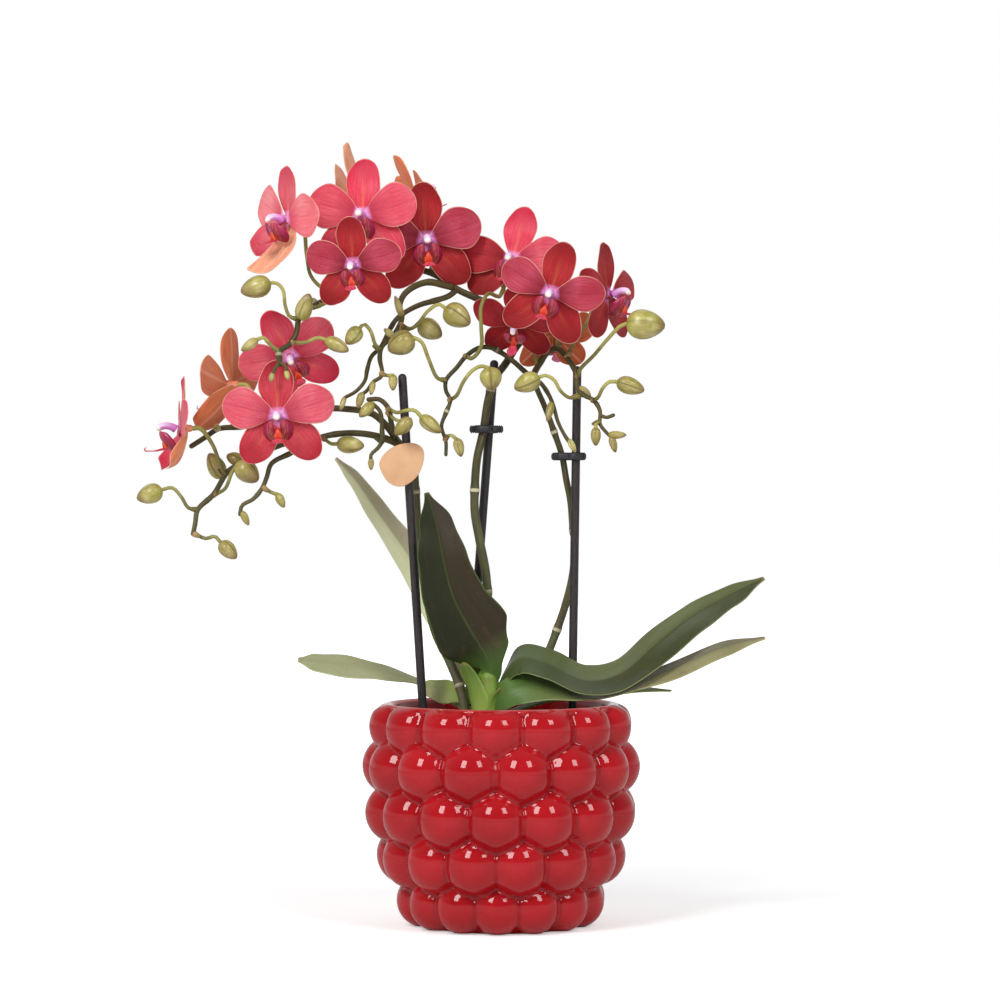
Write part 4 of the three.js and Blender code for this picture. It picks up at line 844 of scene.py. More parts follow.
@dataclass(frozen=True)
class ClearPlasticFinish:
    """Thin cloudy clear plastic with faint flow marks."""

    tint: str = "#dfe3df"
    cloudy: str = "#c4cac4"

    def made(self) -> bpy.types.Material:
        """Makes the material.

        Returns:
            The material.
        """
        recipe = Recipe("clear_plastic", 0.18, Transmission_Weight=0.85, IOR=1.45)
        flow = recipe.noise(recipe.place(), 90.0, 3.0, 0.5)
        return recipe.done(recipe.blend(flow, self.tint, self.cloudy), flow, 0.1, 0.0003,
                           recipe.steps(flow, (0.3, 0.12), (0.8, 0.3)))


@dataclass(frozen=True)
class BarkFinish:
    """Damp chipped bark: brown with dark layers and pale broken edges."""

    dark: str = "#33221a"
    brown: str = "#664937"
    pale: str = "#957760"

    def made(self) -> bpy.types.Material:
        """Makes the material, reading a tone for each chip from the growth colour.

        Returns:
            The material.
        """
        recipe = Recipe("bark", 0.85)
        tone, layer, _, _ = recipe.growth()
        place = recipe.place()
        fibre = recipe.noise(place, 900.0, 5.0, 1.5)
        patch = recipe.noise(place, 180.0, 4.0)
        body = recipe.steps(recipe.math("MULTIPLY_ADD", fibre, 0.6, recipe.math("MULTIPLY", patch, 0.5)),
                            (0.3, self.dark), (0.52, self.brown), (0.75, self.pale))
        colour = recipe.lay(body, self.dark, tone, (0.0, 1.0), (0.0, 0.55), "MULTIPLY")
        colour = recipe.lay(colour, self.pale, layer, (0.4, 1.0), (0.0, 0.5))
        return recipe.done(colour, fibre, 0.9, 0.0008)


@dataclass(frozen=True)
class LeafFinish:
    """A strap leaf: two upper-face tones, underside, edge, root, darker patches, painted shade by the midrib,
    dry marks, veins.
    """

    name: str
    left: str
    right: str
    under: str
    edge: str = "#b9cf72"
    root: str = "#8da046"
    # a darker tone, laid in cloudy patches and as painted shade in a broad band along the midrib fold
    tip: str = "#6a6c3a"
    dry: str = "#8a5a34"
    wear: float = 0.12
    gloss: float = 0.4
    clasp: float = 0.3

    def made(self) -> bpy.types.Material:
        """Makes the material, reading u, v, the distance from the edge and the side from the growth colour.

        Returns:
            The material.
        """
        recipe = Recipe(f"leaf_{self.name}", 0.36, Specular_IOR_Level=self.gloss, Subsurface_Weight=0.06,
                        Subsurface_Radius=(0.3, 0.6, 0.15), Subsurface_Scale=0.002)
        along, across, edge, side = recipe.growth()
        place = recipe.place()
        veins = recipe.grain(along, across, side, (3.0, 46.0), 3.0, 0.3)
        cloud = recipe.noise(place, 55.0, 4.0, 0.4)
        fine = recipe.noise(place, 1600.0, 2.0)
        spots = recipe.noise(place, 120.0, 5.0, 1.0)
        rib = recipe.off_middle(across)
        upper = recipe.lay(self.left, self.right, across, (0.47, 0.53))
        face = recipe.lay(self.under, upper, side, (0.45, 0.55))
        face = recipe.lay(face, self.tip, cloud, (0.35, 0.75), (0.0, 0.4))
        face = recipe.lay(face, self.edge, veins, (0.4, 0.62), (0.0, 0.3), "SOFT_LIGHT")
        face = recipe.lay(face, self.edge, rib, (0.0, 0.02), (0.3, 0.0))
        # painted shade: a broad darker band along the midrib fold
        face = recipe.lay(face, self.tip, rib, (0.02, 0.2), (0.3, 0.0))
        face = recipe.lay(face, self.root, along, (self.clasp * 0.3, self.clasp), (1.0, 0.0))
        face = recipe.lay(face, self.edge, edge, (0.01, 0.04), (0.5, 0.0))
        face = recipe.lay(face, self.dry, spots, (0.62, 0.7), (0.0, self.wear))
        face = recipe.lay(face, self.dry, along, (0.955, 0.995), (0.0, self.wear * 1.6))
        relief = recipe.math("ADD", recipe.math("MULTIPLY", veins, 0.8), recipe.math("MULTIPLY", fine, 0.2))
        return recipe.done(face, relief, 0.35, 0.0005, recipe.steps(cloud, (0.3, 0.3), (0.8, 0.48)))


@dataclass(frozen=True)
class StemFinish:
    """Green to brown stems with lengthwise streaks and a papery ring at every node."""

    leader: str = "#312c18"
    branch: str = "#453d22"
    stalk: str = "#aaa55a"
    ring: str = "#cfc4a4"
    blush: str = "#5e3526"
    low: str = "#5f6349"

    def made(self) -> bpy.types.Material:
        """Makes the material, reading the length run, the kind of stem, the distance to a node and the turn.

        Returns:
            The material.
        """
        recipe = Recipe("stem", 0.48, Specular_IOR_Level=0.3, Subsurface_Weight=0.05,
                        Subsurface_Radius=(0.4, 0.6, 0.2), Subsurface_Scale=0.001)
        run, kind, node, turn = recipe.growth()
        place = recipe.place()
        height = recipe.node("ShaderNodeSeparateXYZ", {0: place}).outputs[2]
        streak = recipe.grain(run, turn, kind, (9.0, 26.0), 3.0)
        cloud = recipe.noise(place, 90.0)
        base = recipe.steps(kind, (0.0, self.leader), (0.5, self.branch), (1.0, self.stalk))
        base = recipe.lay(base, self.low, height, (0.13, 0.24), (0.75, 0.0))
        base = recipe.lay(base, self.blush, cloud, (0.45, 0.75), (0.0, 0.45))
        base = recipe.lay(base, self.stalk, streak, (0.45, 0.75), (0.0, 0.3))
        ring = recipe.math("MULTIPLY", recipe.steps(node, (0.05, 1.0), (0.1, 0.0)),
                           recipe.steps(height, (0.2, 1.0), (0.28, 0.3)))
        return recipe.done(recipe.blend(ring, base, self.ring), streak, 0.25, 0.0003)


@dataclass(frozen=True)
class BudFinish:
    """Yellow-green waxy buds, paler on the swell, with darker seams and fine ribs."""

    pale: str = "#dccf8c"
    green: str = "#a8a34c"
    seam: str = "#5f5626"
    blush: str = "#7d5a36"

    def made(self) -> bpy.types.Material:
        """Makes the material, reading the share along, the turn, the seam and a tone from the growth colour.

        Returns:
            The material.
        """
        recipe = Recipe("bud", 0.3, Subsurface_Weight=0.12, Subsurface_Radius=(0.5, 0.6, 0.2),
                        Subsurface_Scale=0.002)
        along, turn, seam, tone = recipe.growth()
        place = recipe.place()
        rib = recipe.grain(along, turn, tone, (2.0, 30.0))
        patch = recipe.noise(place, 75.0, 2.0)
        body = recipe.lay(self.green, self.pale, recipe.noise(place, 160.0), (0.35, 0.7))
        body = recipe.lay(body, self.green, along, (0.0, 0.45), (0.8, 0.0))
        body = recipe.lay(body, self.blush, patch, (0.5, 0.75), (0.0, 0.6))
        body = recipe.lay(body, self.blush, along, (0.7, 1.0), (0.0, 0.8))
        body = recipe.lay(body, self.blush, tone, (0.3, 1.0), (0.0, 0.45))
        body = recipe.lay(body, self.seam, seam, (0.55, 1.0), (0.0, 0.9))
        body = recipe.lay(body, self.seam, rib, (0.45, 0.75), (0.0, 0.4))
        return recipe.done(body, rib, 0.25, 0.0003)


@dataclass(frozen=True)
class BractFinish:
    """Straw-brown papery bracts at the joints."""

    straw: str = "#b99a66"
    brown: str = "#7a5a38"

    def made(self) -> bpy.types.Material:
        """Makes the material, reading u and v from the growth colour.

        Returns:
            The material.
        """
        recipe = Recipe("bract", 0.7)
        along, across, _, _ = recipe.growth()
        vein = recipe.grain(along, across, 0.0, (2.0, 20.0), 3.0)
        tone = recipe.math("MULTIPLY_ADD", along, 0.5, recipe.math("MULTIPLY", vein, 0.6))
        return recipe.done(recipe.steps(tone, (0.25, self.straw), (0.8, self.brown)), vein, 0.4, 0.0003)


@dataclass(frozen=True)
class PetalFinish:
    """A petal or sepal: body, deep and pale tones, its back, its throat and its thin pale edge.

    A sepal is deep towards its tip and pale along its middle, a petal deep towards its root.
    """

    name: str
    body: str
    deep: str
    pale: str
    back: str
    throat: str
    sepal: bool
    edge: str = "#efb8a2"

    def made(self) -> bpy.types.Material:
        """Makes the material, reading u, v, the distance from the edge and the side from the growth colour.

        Returns:
            The material.
        """
        recipe = Recipe(self.name, 0.5, Specular_IOR_Level=0.2, Subsurface_Weight=0.3,
                        Subsurface_Radius=(1.0, 0.3, 0.25), Subsurface_Scale=0.0012, Sheen_Weight=0.04)
        along, across, edge, side = recipe.growth()
        place = recipe.place()
        veins = recipe.grain(along, across, side, (2.5, 58.0), 2.5, 0.12)
        cloud = recipe.noise(place, 70.0, 3.0, 0.3)
        cells = recipe.noise(place, 2200.0, 2.0)
        rib = recipe.off_middle(across)
        front = recipe.lay(self.body, self.pale, cloud, (0.35, 0.72), (0.0, 0.8))
        front = recipe.lay(front, self.deep, veins, (0.4, 0.68), (0.0, 0.75))
        front = recipe.lay(front, self.pale, cells, (0.45, 0.75), (0.0, 0.25))
        if self.sepal:
            front = recipe.lay(front, self.deep, along, (0.45, 0.95), (0.0, 0.8))
            gold = recipe.math("MULTIPLY", recipe.steps(rib, (0.0, 0.5), (0.1, 0.0)),
                               recipe.steps(along, (0.2, 0.7), (0.75, 0.0)))
            front = recipe.blend(gold, front, self.back)
        else:
            front = recipe.lay(front, self.deep, rib, (0.0, 0.03), (0.35, 0.0))
            front = recipe.lay(front, self.deep, along, (0.15, 0.5), (0.85, 0.0))
        front = recipe.lay(front, self.throat, along, (0.07, 0.16), (1.0, 0.0))
        rear = recipe.lay(self.back, self.body, veins, (0.38, 0.68), (0.0, 0.75))
        rear = recipe.lay(rear, self.edge, rib, (0.0, 0.07), (0.5, 0.0))
        face = recipe.lay(front, rear, side, (0.4, 0.6))
        face = recipe.lay(face, self.edge, edge, (0.004, 0.028), (0.65, 0.0))
        relief = recipe.math("MULTIPLY_ADD", cells, 0.18, recipe.math("MULTIPLY", veins, 0.8))
        return recipe.done(face, relief, 0.5, 0.0006, recipe.steps(cloud, (0.3, 0.42), (0.8, 0.58)))


@dataclass(frozen=True)
class LipFinish:
    """A part of the lip or the column: its tones at root, end and inner face, with lengthwise stripes."""

    name: str
    root: str
    end: str
    stripe: str
    inner: str
    stripes: float = 0.5
    roughness: float = 0.38

    def made(self) -> bpy.types.Material:
        """Makes the material, reading u, v and the side from the growth colour.

        Returns:
            The material.
        """
        recipe = Recipe(f"lip_{self.name}", self.roughness, Subsurface_Weight=0.15,
                        Subsurface_Radius=(0.8, 0.3, 0.4), Subsurface_Scale=0.001)
        along, across, _, side = recipe.growth()
        line = recipe.grain(along, across, side, (2.5, 15.0), 2.0, 0.4)
        speck = recipe.noise(recipe.place(), 1500.0, 2.0)
        striped = recipe.math("MULTIPLY", recipe.steps(line, (0.48, 0.0), (0.56, self.stripes)),
                              recipe.steps(across, (0.45, 0.0), (0.62, 1.0)))
        body = recipe.lay(self.root, self.end, along, (0.15, 0.85))
        body = recipe.blend(striped, body, self.stripe)
        body = recipe.lay(body, self.inner, side, (0.4, 0.6), (0.0, 0.9))
        body = recipe.lay(body, self.root, across, (0.84, 0.97), (0.0, 0.8))
        return recipe.done(body, recipe.math("ADD", line, recipe.math("MULTIPLY", speck, 0.3)), 0.3, 0.0003)


@dataclass(frozen=True)
class RodFinish:
    """Matte brown-black of the stakes, with a faint grain along them."""

    dark: str = "#211b1b"
    worn: str = "#453b3b"

    def made(self) -> bpy.types.Material:
        """Makes the material, reading the length run and the turn from the growth colour.

        Returns:
            The material.
        """
        recipe = Recipe("stake", 0.5)
        run, turn, _, _ = recipe.growth()
        grain = recipe.grain(run, turn, 0.0, (2.0, 24.0), 4.0)
        cloud = recipe.noise(recipe.place(), 70.0)
        colour = recipe.lay(self.dark, self.worn, grain, (0.45, 0.75), (0.0, 0.7))
        return recipe.done(colour, grain, 0.3, 0.0003, recipe.steps(cloud, (0.3, 0.4), (0.8, 0.62)))


@dataclass(frozen=True)
class PlasticFinish:
    """Moulded plastic with a fine grain."""

    name: str
    body: str
    shade: str
    roughness: float = 0.5

    def made(self) -> bpy.types.Material:
        """Makes the material.

        Returns:
            The material.
        """
        recipe = Recipe(self.name, self.roughness)
        place = recipe.place()
        colour = recipe.lay(self.body, self.shade, recipe.noise(place, 120.0), (0.3, 0.75))
        return recipe.done(colour, recipe.noise(place, 1800.0), 0.25)


class LitTone(Enum):
    """The flowers' red as lit, in lighter and darker copies: body, deep and pale of the petals and of the
    sepals, then back and throat.
    """

    # the paler tones are painted light through backlit petals, the deeper ones painted shade on petals in
    # shade
    SHELL = (("#f07a82", "#da5068", "#f8a4a4"), ("#e0586c", "#c8364f", "#f08e94"), "#ecb888", "#f8b8f2")
    CORAL = (("#dc4c60", "#ba2c48", "#ee7c8a"), ("#e6405a", "#c21c3e", "#f27c8c"), "#eba468", "#f6b2f0")
    ROSE = (("#db5566", "#b22e46", "#e88490"), ("#cc3646", "#a61228", "#e46c76"), "#dd9058", "#f4acec")
    CRIMSON = (("#b22f41", "#86152a", "#cc5a70"), ("#ad161f", "#820a10", "#c43c40"), "#cc7642", "#ee9ce2")
    DEEP = (("#a81622", "#860a16", "#bc3844"), ("#a4131c", "#800810", "#b83238"), "#c4683a", "#dc82ce")


LEAF_FINISHES: dict[str, LeafFinish] = {
    "leaf_upright": LeafFinish("upright", "#20240b", "#382c1d", "#46562a", "#5f7f34", "#4a682c", "#2a2a12",
                               wear=0.06, gloss=0.25, clasp=0.36),
    # the arching leaf's darker right tone is painted shade on the front, lower half of its blade
    "leaf_arching": LeafFinish("arching", "#636c3f", "#373f1c", "#8f8c7c", "#8f9a5f", "#43542a", "#434820",
                               gloss=0.5, clasp=0.5),
    "leaf_right_front": LeafFinish("right_front", "#7d7760", "#98926c", "#a39a86", "#a9ad74", "#527230",
                                   "#4c5034", clasp=0.62),
    "leaf_right_low": LeafFinish("right_low", "#4d6a28", "#5a7a2e", "#8f9b5c", "#a6bb50", "#55862a",
                                 "#4a6426"),
    # the back left leaf's near-white tones are painted light, standing for light shining through it from
    # behind
    "leaf_back_left": LeafFinish("back_left", "#d3d6b0", "#9d947e", "#d0cfb0", "#e3e3c2", "#a3ab6c",
                                 "#aab07e", wear=0.1),
    "leaf_short_back": LeafFinish("short_back", "#a3a270", "#8f9a58", "#aba87e", "#c4c291", "#84a63f",
                                  "#8f8f60", clasp=0.75, wear=0.2),
    "leaf_left_low": LeafFinish("left_low", "#a4a680", "#9c9e78", "#a7a58b", "#bcc392", "#7f9450", "#86905c",
                                wear=0.15),
}
CROWN_FINISH = LeafFinish("crown", "#5d7a2c", "#557028", "#6f8c34", "#b4c968", "#a3bd54", "#61803a",
                          wear=0.3, clasp=0.9)


class Finishes:
    """Every finish of the plant, made once and shared by its pieces."""

    def __init__(self) -> None:
        """Makes the materials."""
        self.glaze = GlazeFinish().made()
        self.clear_plastic = ClearPlasticFinish().made()
        self.bark = BarkFinish().made()
        self.stem = StemFinish().made()
        self.bud = BudFinish().made()
        self.bract = BractFinish().made()
        self.stake = RodFinish().made()
        self.clip = PlasticFinish("clip", "#232227", "#303036").made()
        self.tag = PlasticFinish("tag", "#d9ab83", "#c99a70", 0.6).made()
        self.petals = {tone: self.pair(tone) for tone in LitTone}
        self.column = LipFinish("column", "#dd86dc", "#eccdee", "#c65cc4", "#e3b4e8", 0.35).made()
        self.cap = LipFinish("cap", "#efd9d2", "#f6ece2", "#e8cdbd", "#f6ece2", 0.3, 0.3).made()
        self.lobe = LipFinish("lobe", "#8c0a2a", "#a61450", "#d9824a", "#e6a6e0", 0.45, 0.3).made()
        self.tongue = LipFinish("tongue", "#d22c34", "#c43a70", "#f08a86", "#d65c8c", 0.6, 0.3).made()
        self.callus = LipFinish("callus", "#d8341e", "#de4426", "#ef9440", "#c22838", 0.8).made()
        self.crown = CROWN_FINISH.made()
        self.leaves = {name: finish.made() for name, finish in LEAF_FINISHES.items()}

    @staticmethod
    def pair(tone: LitTone) -> list[bpy.types.Material]:
        """Makes a flower's finishes.

        Args:
            tone: The flower's tone.

        Returns:
            The finishes of its petals and of its sepals.
        """
        petal, sepal, back, throat = tone.value
        name = tone.name.lower()
        return [PetalFinish(f"petal_{name}", *petal, back, throat, False).made(),
                PetalFinish(f"sepal_{name}", *sepal, back, throat, True).made()]


# Pot and what fills it


@dataclass(frozen=True)
class BubbleRow:
    """A row of bubbles: the height and the radius of its ring of middles, and a bubble's radius."""

    height: float
    ring: float
    bubble: float


@dataclass
class Cachepot:
    """The glazed pot: rows of bubbles on a round body, each row half a bubble out of step with the next."""

    rim_height: float = 101.0
    rim_radius: float = 54.5
    rim_edge: float = 1.6
    wall: float = 5.0
    foot_radius: float = 36.0
    floor: float = 6.0
    body_lift: float = 2.0
    first_turn: float = -2.5
    bubbles: int = 14
    columns: int = 24
    levels: int = 78
    softness: float = 2.4
    crease_width: float = 2.6
    foot_hollow: float = 0.35
    unswollen: float = 200.0
    rows: tuple[BubbleRow, ...] = (
        BubbleRow(12, 35.6, 12.4), BubbleRow(32, 42.8, 14), BubbleRow(52, 48.4, 14),
        BubbleRow(72.5, 49.4, 14), BubbleRow(91, 46.6, 14))

    def body_radius(self, height: float) -> float:
        """Radius of the round body under the bubbles.

        Args:
            height: Height above the table.

        Returns:
            The radius there.
        """
        line = [(0.0, self.foot_radius), *((row.height, row.ring + self.body_lift) for row in self.rows),
                (self.rim_height, self.rim_radius)]
        for (low, start), (high, end) in zip(line, line[1:]):
            if height <= high:
                return mix(start, end, (height - low) / (high - low))
        return self.rim_radius

    def bubble_radius(self, height: float, angle: float) -> tuple[float, float]:
        """Radius of the bubbled surface, its creases filled softly.

        Args:
            height: Height above the table.
            angle: The direction from the axis, in radians.

        Returns:
            The radius, and how close the point is to a crease, from 0 to 1.
        """
        pitch = FULL_TURN / self.bubbles
        reached = [0.0, self.body_radius(height)]
        for index, row in enumerate(self.rows):
            turn = math.radians(self.first_turn) - math.pi / 2 + (pitch / 2 if index % 2 else 0)
            off = angle - turn - round((angle - turn) / pitch) * pitch
            for side in (off, off - math.copysign(pitch, off)):
                rest = row.bubble ** 2 - (height - row.height) ** 2 - (row.ring * math.sin(side)) ** 2
                if rest > 0:
                    reached.append(row.ring * math.cos(side) + math.sqrt(rest))
        near, top = sorted(reached)[-2:]
        fill = max(self.softness - (top - near), 0) ** 2 / (4 * self.softness)
        return top + fill, clamp(1 - (top - near) / self.crease_width)

    def profile(self) -> list[tuple[tuple[float, float], Growth]]:
        """Half of the pot's section, from the middle of the foot round the rim to the middle of the floor.

        Returns:
            Its points and their growth colours. The points of the bubbled face stand at the unswollen radius.
        """
        edge, half = self.rim_height - self.rim_edge, self.wall / 2
        foot = [(0.0, self.foot_hollow), (20.0, self.foot_hollow), (29.0, self.foot_hollow), (31.0, 0.0),
                (34.0, 0.0)]
        outer = [(self.unswollen, mix(0.4, edge, level / self.levels)) for level in range(self.levels + 1)]
        outer += [(self.unswollen, edge + rise) for rise in (0.4, 0.8, 1.15, 1.4, 1.55)]
        rim = [(self.rim_radius - half + half * math.cos(part), edge + self.rim_edge * math.sin(part))
               for part in (math.pi * step / 10 for step in range(5, 10))]
        inner = [(min(self.rim_radius - self.wall, self.body_radius(height) - half), height)
                 for height in (edge, 97.0, 93.0, 86.0, 78.0, 65.0, 52.0, 40.0, 28.0, 16.0, 8.5)]
        base = [(radius, self.floor) for radius in (34.5, 20.0, 0.0)]
        # the inner wall takes the full crease mask: painted shade inside the pot
        faces = ((foot, (0.0, 0.0, 1.0, 0.0)), (outer, (0.0, 0.0, 0.0, 0.0)), (rim, (0.0, 1.0, 0.0, 1.0)),
                 (inner, (1.0, 0.5, 0.0, 0.0)), (base, (0.0, 0.2, 0.0, 0.0)))
        return [(point, growth) for points, growth in faces for point in points]

    def build(self, finishes: Finishes) -> None:
        """Spins the section into the pot and swells its bubbles.

        Args:
            finishes: Every finish of the plant.
        """
        piece = Piece("glazed_pot")
        points, growths = zip(*self.profile())
        piece.spin(points, self.bubbles * self.columns, growths)
        for vert in piece.mesh.verts:
            x, y, height = vert.co
            reach = math.hypot(x, y)
            if reach < self.unswollen / 2:
                continue
            radius, crease = self.bubble_radius(height, math.atan2(y, x))
            shoulder = clamp(1 - (self.rim_height - height) / 5)
            scale = mix(radius, self.rim_radius - self.wall / 2 + 0.4, shoulder ** 4) / reach
            vert.co = (x * scale, y * scale, height)
            # closeness to a crease, faded out at the rim, is the mask of painted shade
            vert[piece.growth] = (crease * (1 - shoulder ** 4), height / self.rim_height, 0.0, shoulder ** 9)
        piece.finish("cachepot", "glaze", [finishes.glaze], weld=0.01)


@dataclass
class NurseryPot:
    """The thin clear grower's pot inside, with its rolled rim."""

    foot: float = 6.3
    top: float = 95.0
    foot_radius: float = 30.0
    top_radius: float = 44.5
    wall: float = 1.2
    rim_width: float = 1.6
    rim_depth: float = 3.0
    segments: int = 96

    def radius(self, height: float) -> float:
        """The outer radius at a height."""
        return mix(self.foot_radius, self.top_radius, (height - self.foot) / (self.top - self.foot))

    def build(self, finishes: Finishes) -> None:
        """Spins the section into the pot.

        Args:
            finishes: Every finish of the plant.
        """
        piece = Piece("clear_pot")
        low = self.top - self.rim_depth
        heights = [mix(self.foot, low, step / 16) for step in range(17)]
        rim, inner = self.top_radius + self.rim_width, self.top_radius - self.wall
        floor = self.foot + self.wall
        piece.spin([(0.0, self.foot), *((self.radius(height), height) for height in heights),
                    (rim - 0.4, low), (rim, low + 0.5), (rim, self.top - 0.5), (rim - 0.4, self.top),
                    (inner + 0.3, self.top), (inner, self.top - 0.4),
                    *((self.radius(height) - self.wall, height) for height in reversed(heights[1:])),
                    (self.radius(self.foot) - self.wall, floor), (0.0, floor)], self.segments)
        piece.finish("nursery_pot", "clear_plastic", [finishes.clear_plastic], weld=0.01)


@dataclass
class Bark:
    """The bark: a domed bed with loose chips over it, clear of what stands in it."""

    chips: int = 120
    chip_height: float = 88.5
    reach: float = 40.5
    spread: float = 0.93
    seed: int = 12
    bed: tuple[tuple[float, float], ...] = (
        (0.0, 7.9), (28.0, 7.9), (31.0, 20.0), (36.0, 50.0), (41.0, 82.0), (40.0, 86.0), (30.0, 88.0),
        (15.0, 88.5), (0.0, 88.8))
    kept_clear: tuple[tuple[float, float, float], ...] = (
        (-6, -1, 9), (-35.3, 5.7, 4), (-15.7, 18.2, 4), (32.5, 9, 4), (-16, 3, 4.5), (-7, 9, 4.5),
        (-1, 8, 4.5), (-23, 23, 5))

    def build(self, finishes: Finishes) -> None:
        """Makes the bed and scatters the chips.

        Args:
            finishes: Every finish of the plant.
        """
        draw = random.Random(self.seed)
        piece = Piece("bark_chips")
        piece.spin(self.bed, 48)
        bmesh.ops.remove_doubles(piece.mesh, verts=piece.mesh.verts, dist=0.01)
        piece.mark(piece.mesh.verts, (0.8, 0.0, 0.0, 0.0))
        placed = 0
        while placed < self.chips:
            angle, reach = draw.uniform(0, FULL_TURN), self.reach * math.sqrt(draw.random())
            x, y = reach * math.cos(angle), reach * math.sin(angle)
            if all(math.hypot(x - a, y - b) > clear for a, b, clear in self.kept_clear):
                height = self.chip_height + draw.uniform(-1.2, 2.6)
                self.chip(piece, draw, Vector((x * self.spread, y * self.spread, height)))
                placed += 1
        piece.finish("bark", "bark", [finishes.bark])

    def chip(self, piece: Piece, draw: random.Random, at: Vector) -> None:
        """Adds one chip: a bevelled block with its corners knocked out of line.

        Args:
            piece: The piece that it joins.
            draw: The seeded draws.
            at: Its middle.
        """
        size = Matrix.Diagonal((draw.uniform(7, 14), draw.uniform(5, 9), draw.uniform(2.2, 4.6), 1))
        place = Matrix.Translation(at)
        for low, high, axis in ((0, FULL_TURN, "Z"), (-0.5, 0.5, "X"), (-0.4, 0.4, "Y")):
            place = place @ Matrix.Rotation(draw.uniform(low, high), 4, axis)
        verts = bmesh.ops.create_cube(piece.mesh, size=1.0, matrix=place @ size)["verts"]
        for vert in verts:
            vert.co += Vector([draw.uniform(-1.1, 1.1) for _ in range(3)])
        rounded = piece.soften({edge for vert in verts for edge in vert.link_edges}, 0.7, 1)
        tone = draw.random()
        for vert in rounded:
            vert.co += Vector([draw.uniform(-0.2, 0.2) for _ in range(3)])
        piece.mark(rounded, (tone, draw.random() * 0.6, 0.0, 0.0))


@dataclass(frozen=True)
class Sheath:
    """A leaf sheath: its direction in degrees, the height it reaches, and how far its top leans out."""

    angle: float
    top: float
    lean: tuple[float, float]


@dataclass
class Crown:
    """The short stem that the leaves clasp: an oval drawn up in rings, ridged, with sheaths round it."""

    centre: tuple[float, float] = (-6.0, -1.0)
    radii: tuple[float, float] = (6.2, 5.6)
    foot: float = 82.0
    top: float = 117.0
    outline: tuple[tuple[float, float], ...] = ((0.75, 0), (0.95, 0.3), (1, 0.7), (0.8, 0.9), (0.35, 1))
    inset: float = 0.97
    sheaths: tuple[Sheath, ...] = (
        Sheath(-55, 109, (3.5, -2.5)), Sheath(228, 120, (-6.5, 0.5)), Sheath(150, 122, (-5, 2)),
        Sheath(97, 125, (-2.5, 2.5)))

    def build(self, finishes: Finishes) -> None:
        """Makes the crown.

        Args:
            finishes: Every finish of the plant.
        """
        piece = Piece("leaf_crown")
        heights = (self.foot, mix(self.foot, self.top, 0.5), self.top)
        route = Route([(*self.centre, height) for height in heights])

        def width(share: float, _: float) -> float:
            """The crown's width.

            Args:
                share: The share of its height.

            Returns:
                The width there as a share of its radius.
            """
            for (low_side, low), (high_side, high) in zip(self.outline, self.outline[1:]):
                if share <= high:
                    return mix(low_side, high_side, (share - low) / (high - low))
            return self.outline[-1][0]

        piece.tube(route, width, 36, 1.2, lambda share, run, turn: (share, turn, 1.0, 0.0))
        for vert in piece.mesh.verts:
            x, y = vert.co.x - self.centre[0], vert.co.y - self.centre[1]
            angle = math.atan2(y, x)
            ridge = 1 + 0.08 * math.cos(3 * angle + vert.co.z * 0.09)
            vert.co.x = self.centre[0] + x * self.radii[0] * ridge * self.inset
            vert.co.y = self.centre[1] + y * self.radii[1] * ridge * self.inset
        for sheath in self.sheaths:
            piece.blade(lambda u, v: self.wrap(sheath, u, v), (14, 10), lambda u, v: 0.9 - 0.6 * v * v,
                        lambda u, v, side: (u, 0.5 + 0.5 * v, 0.1 * (1 - abs(v)), side))
        piece.finish("crown", "crown", [finishes.crown], levels=1)

    def wrap(self, sheath: Sheath, u: float, v: float) -> Vector:
        """A point of a leaf sheath.

        Args:
            sheath: The sheath.
            u: From its foot to its top.
            v: From -1 to 1 round the crown.

        Returns:
            The point.
        """
        turn = math.radians(sheath.angle) + 1.25 * v * (1 - 0.3 * u * u)
        out = 1.04 + 0.05 * math.cos(v * math.pi / 2)
        return Vector((self.centre[0] + self.radii[0] * out * math.cos(turn) + sheath.lean[0] * u ** 3,
                       self.centre[1] + self.radii[1] * out * math.sin(turn) + sheath.lean[1] * u ** 3,
                       mix(self.foot + 1, sheath.top - 5 * v * v, u)))


# Leaves


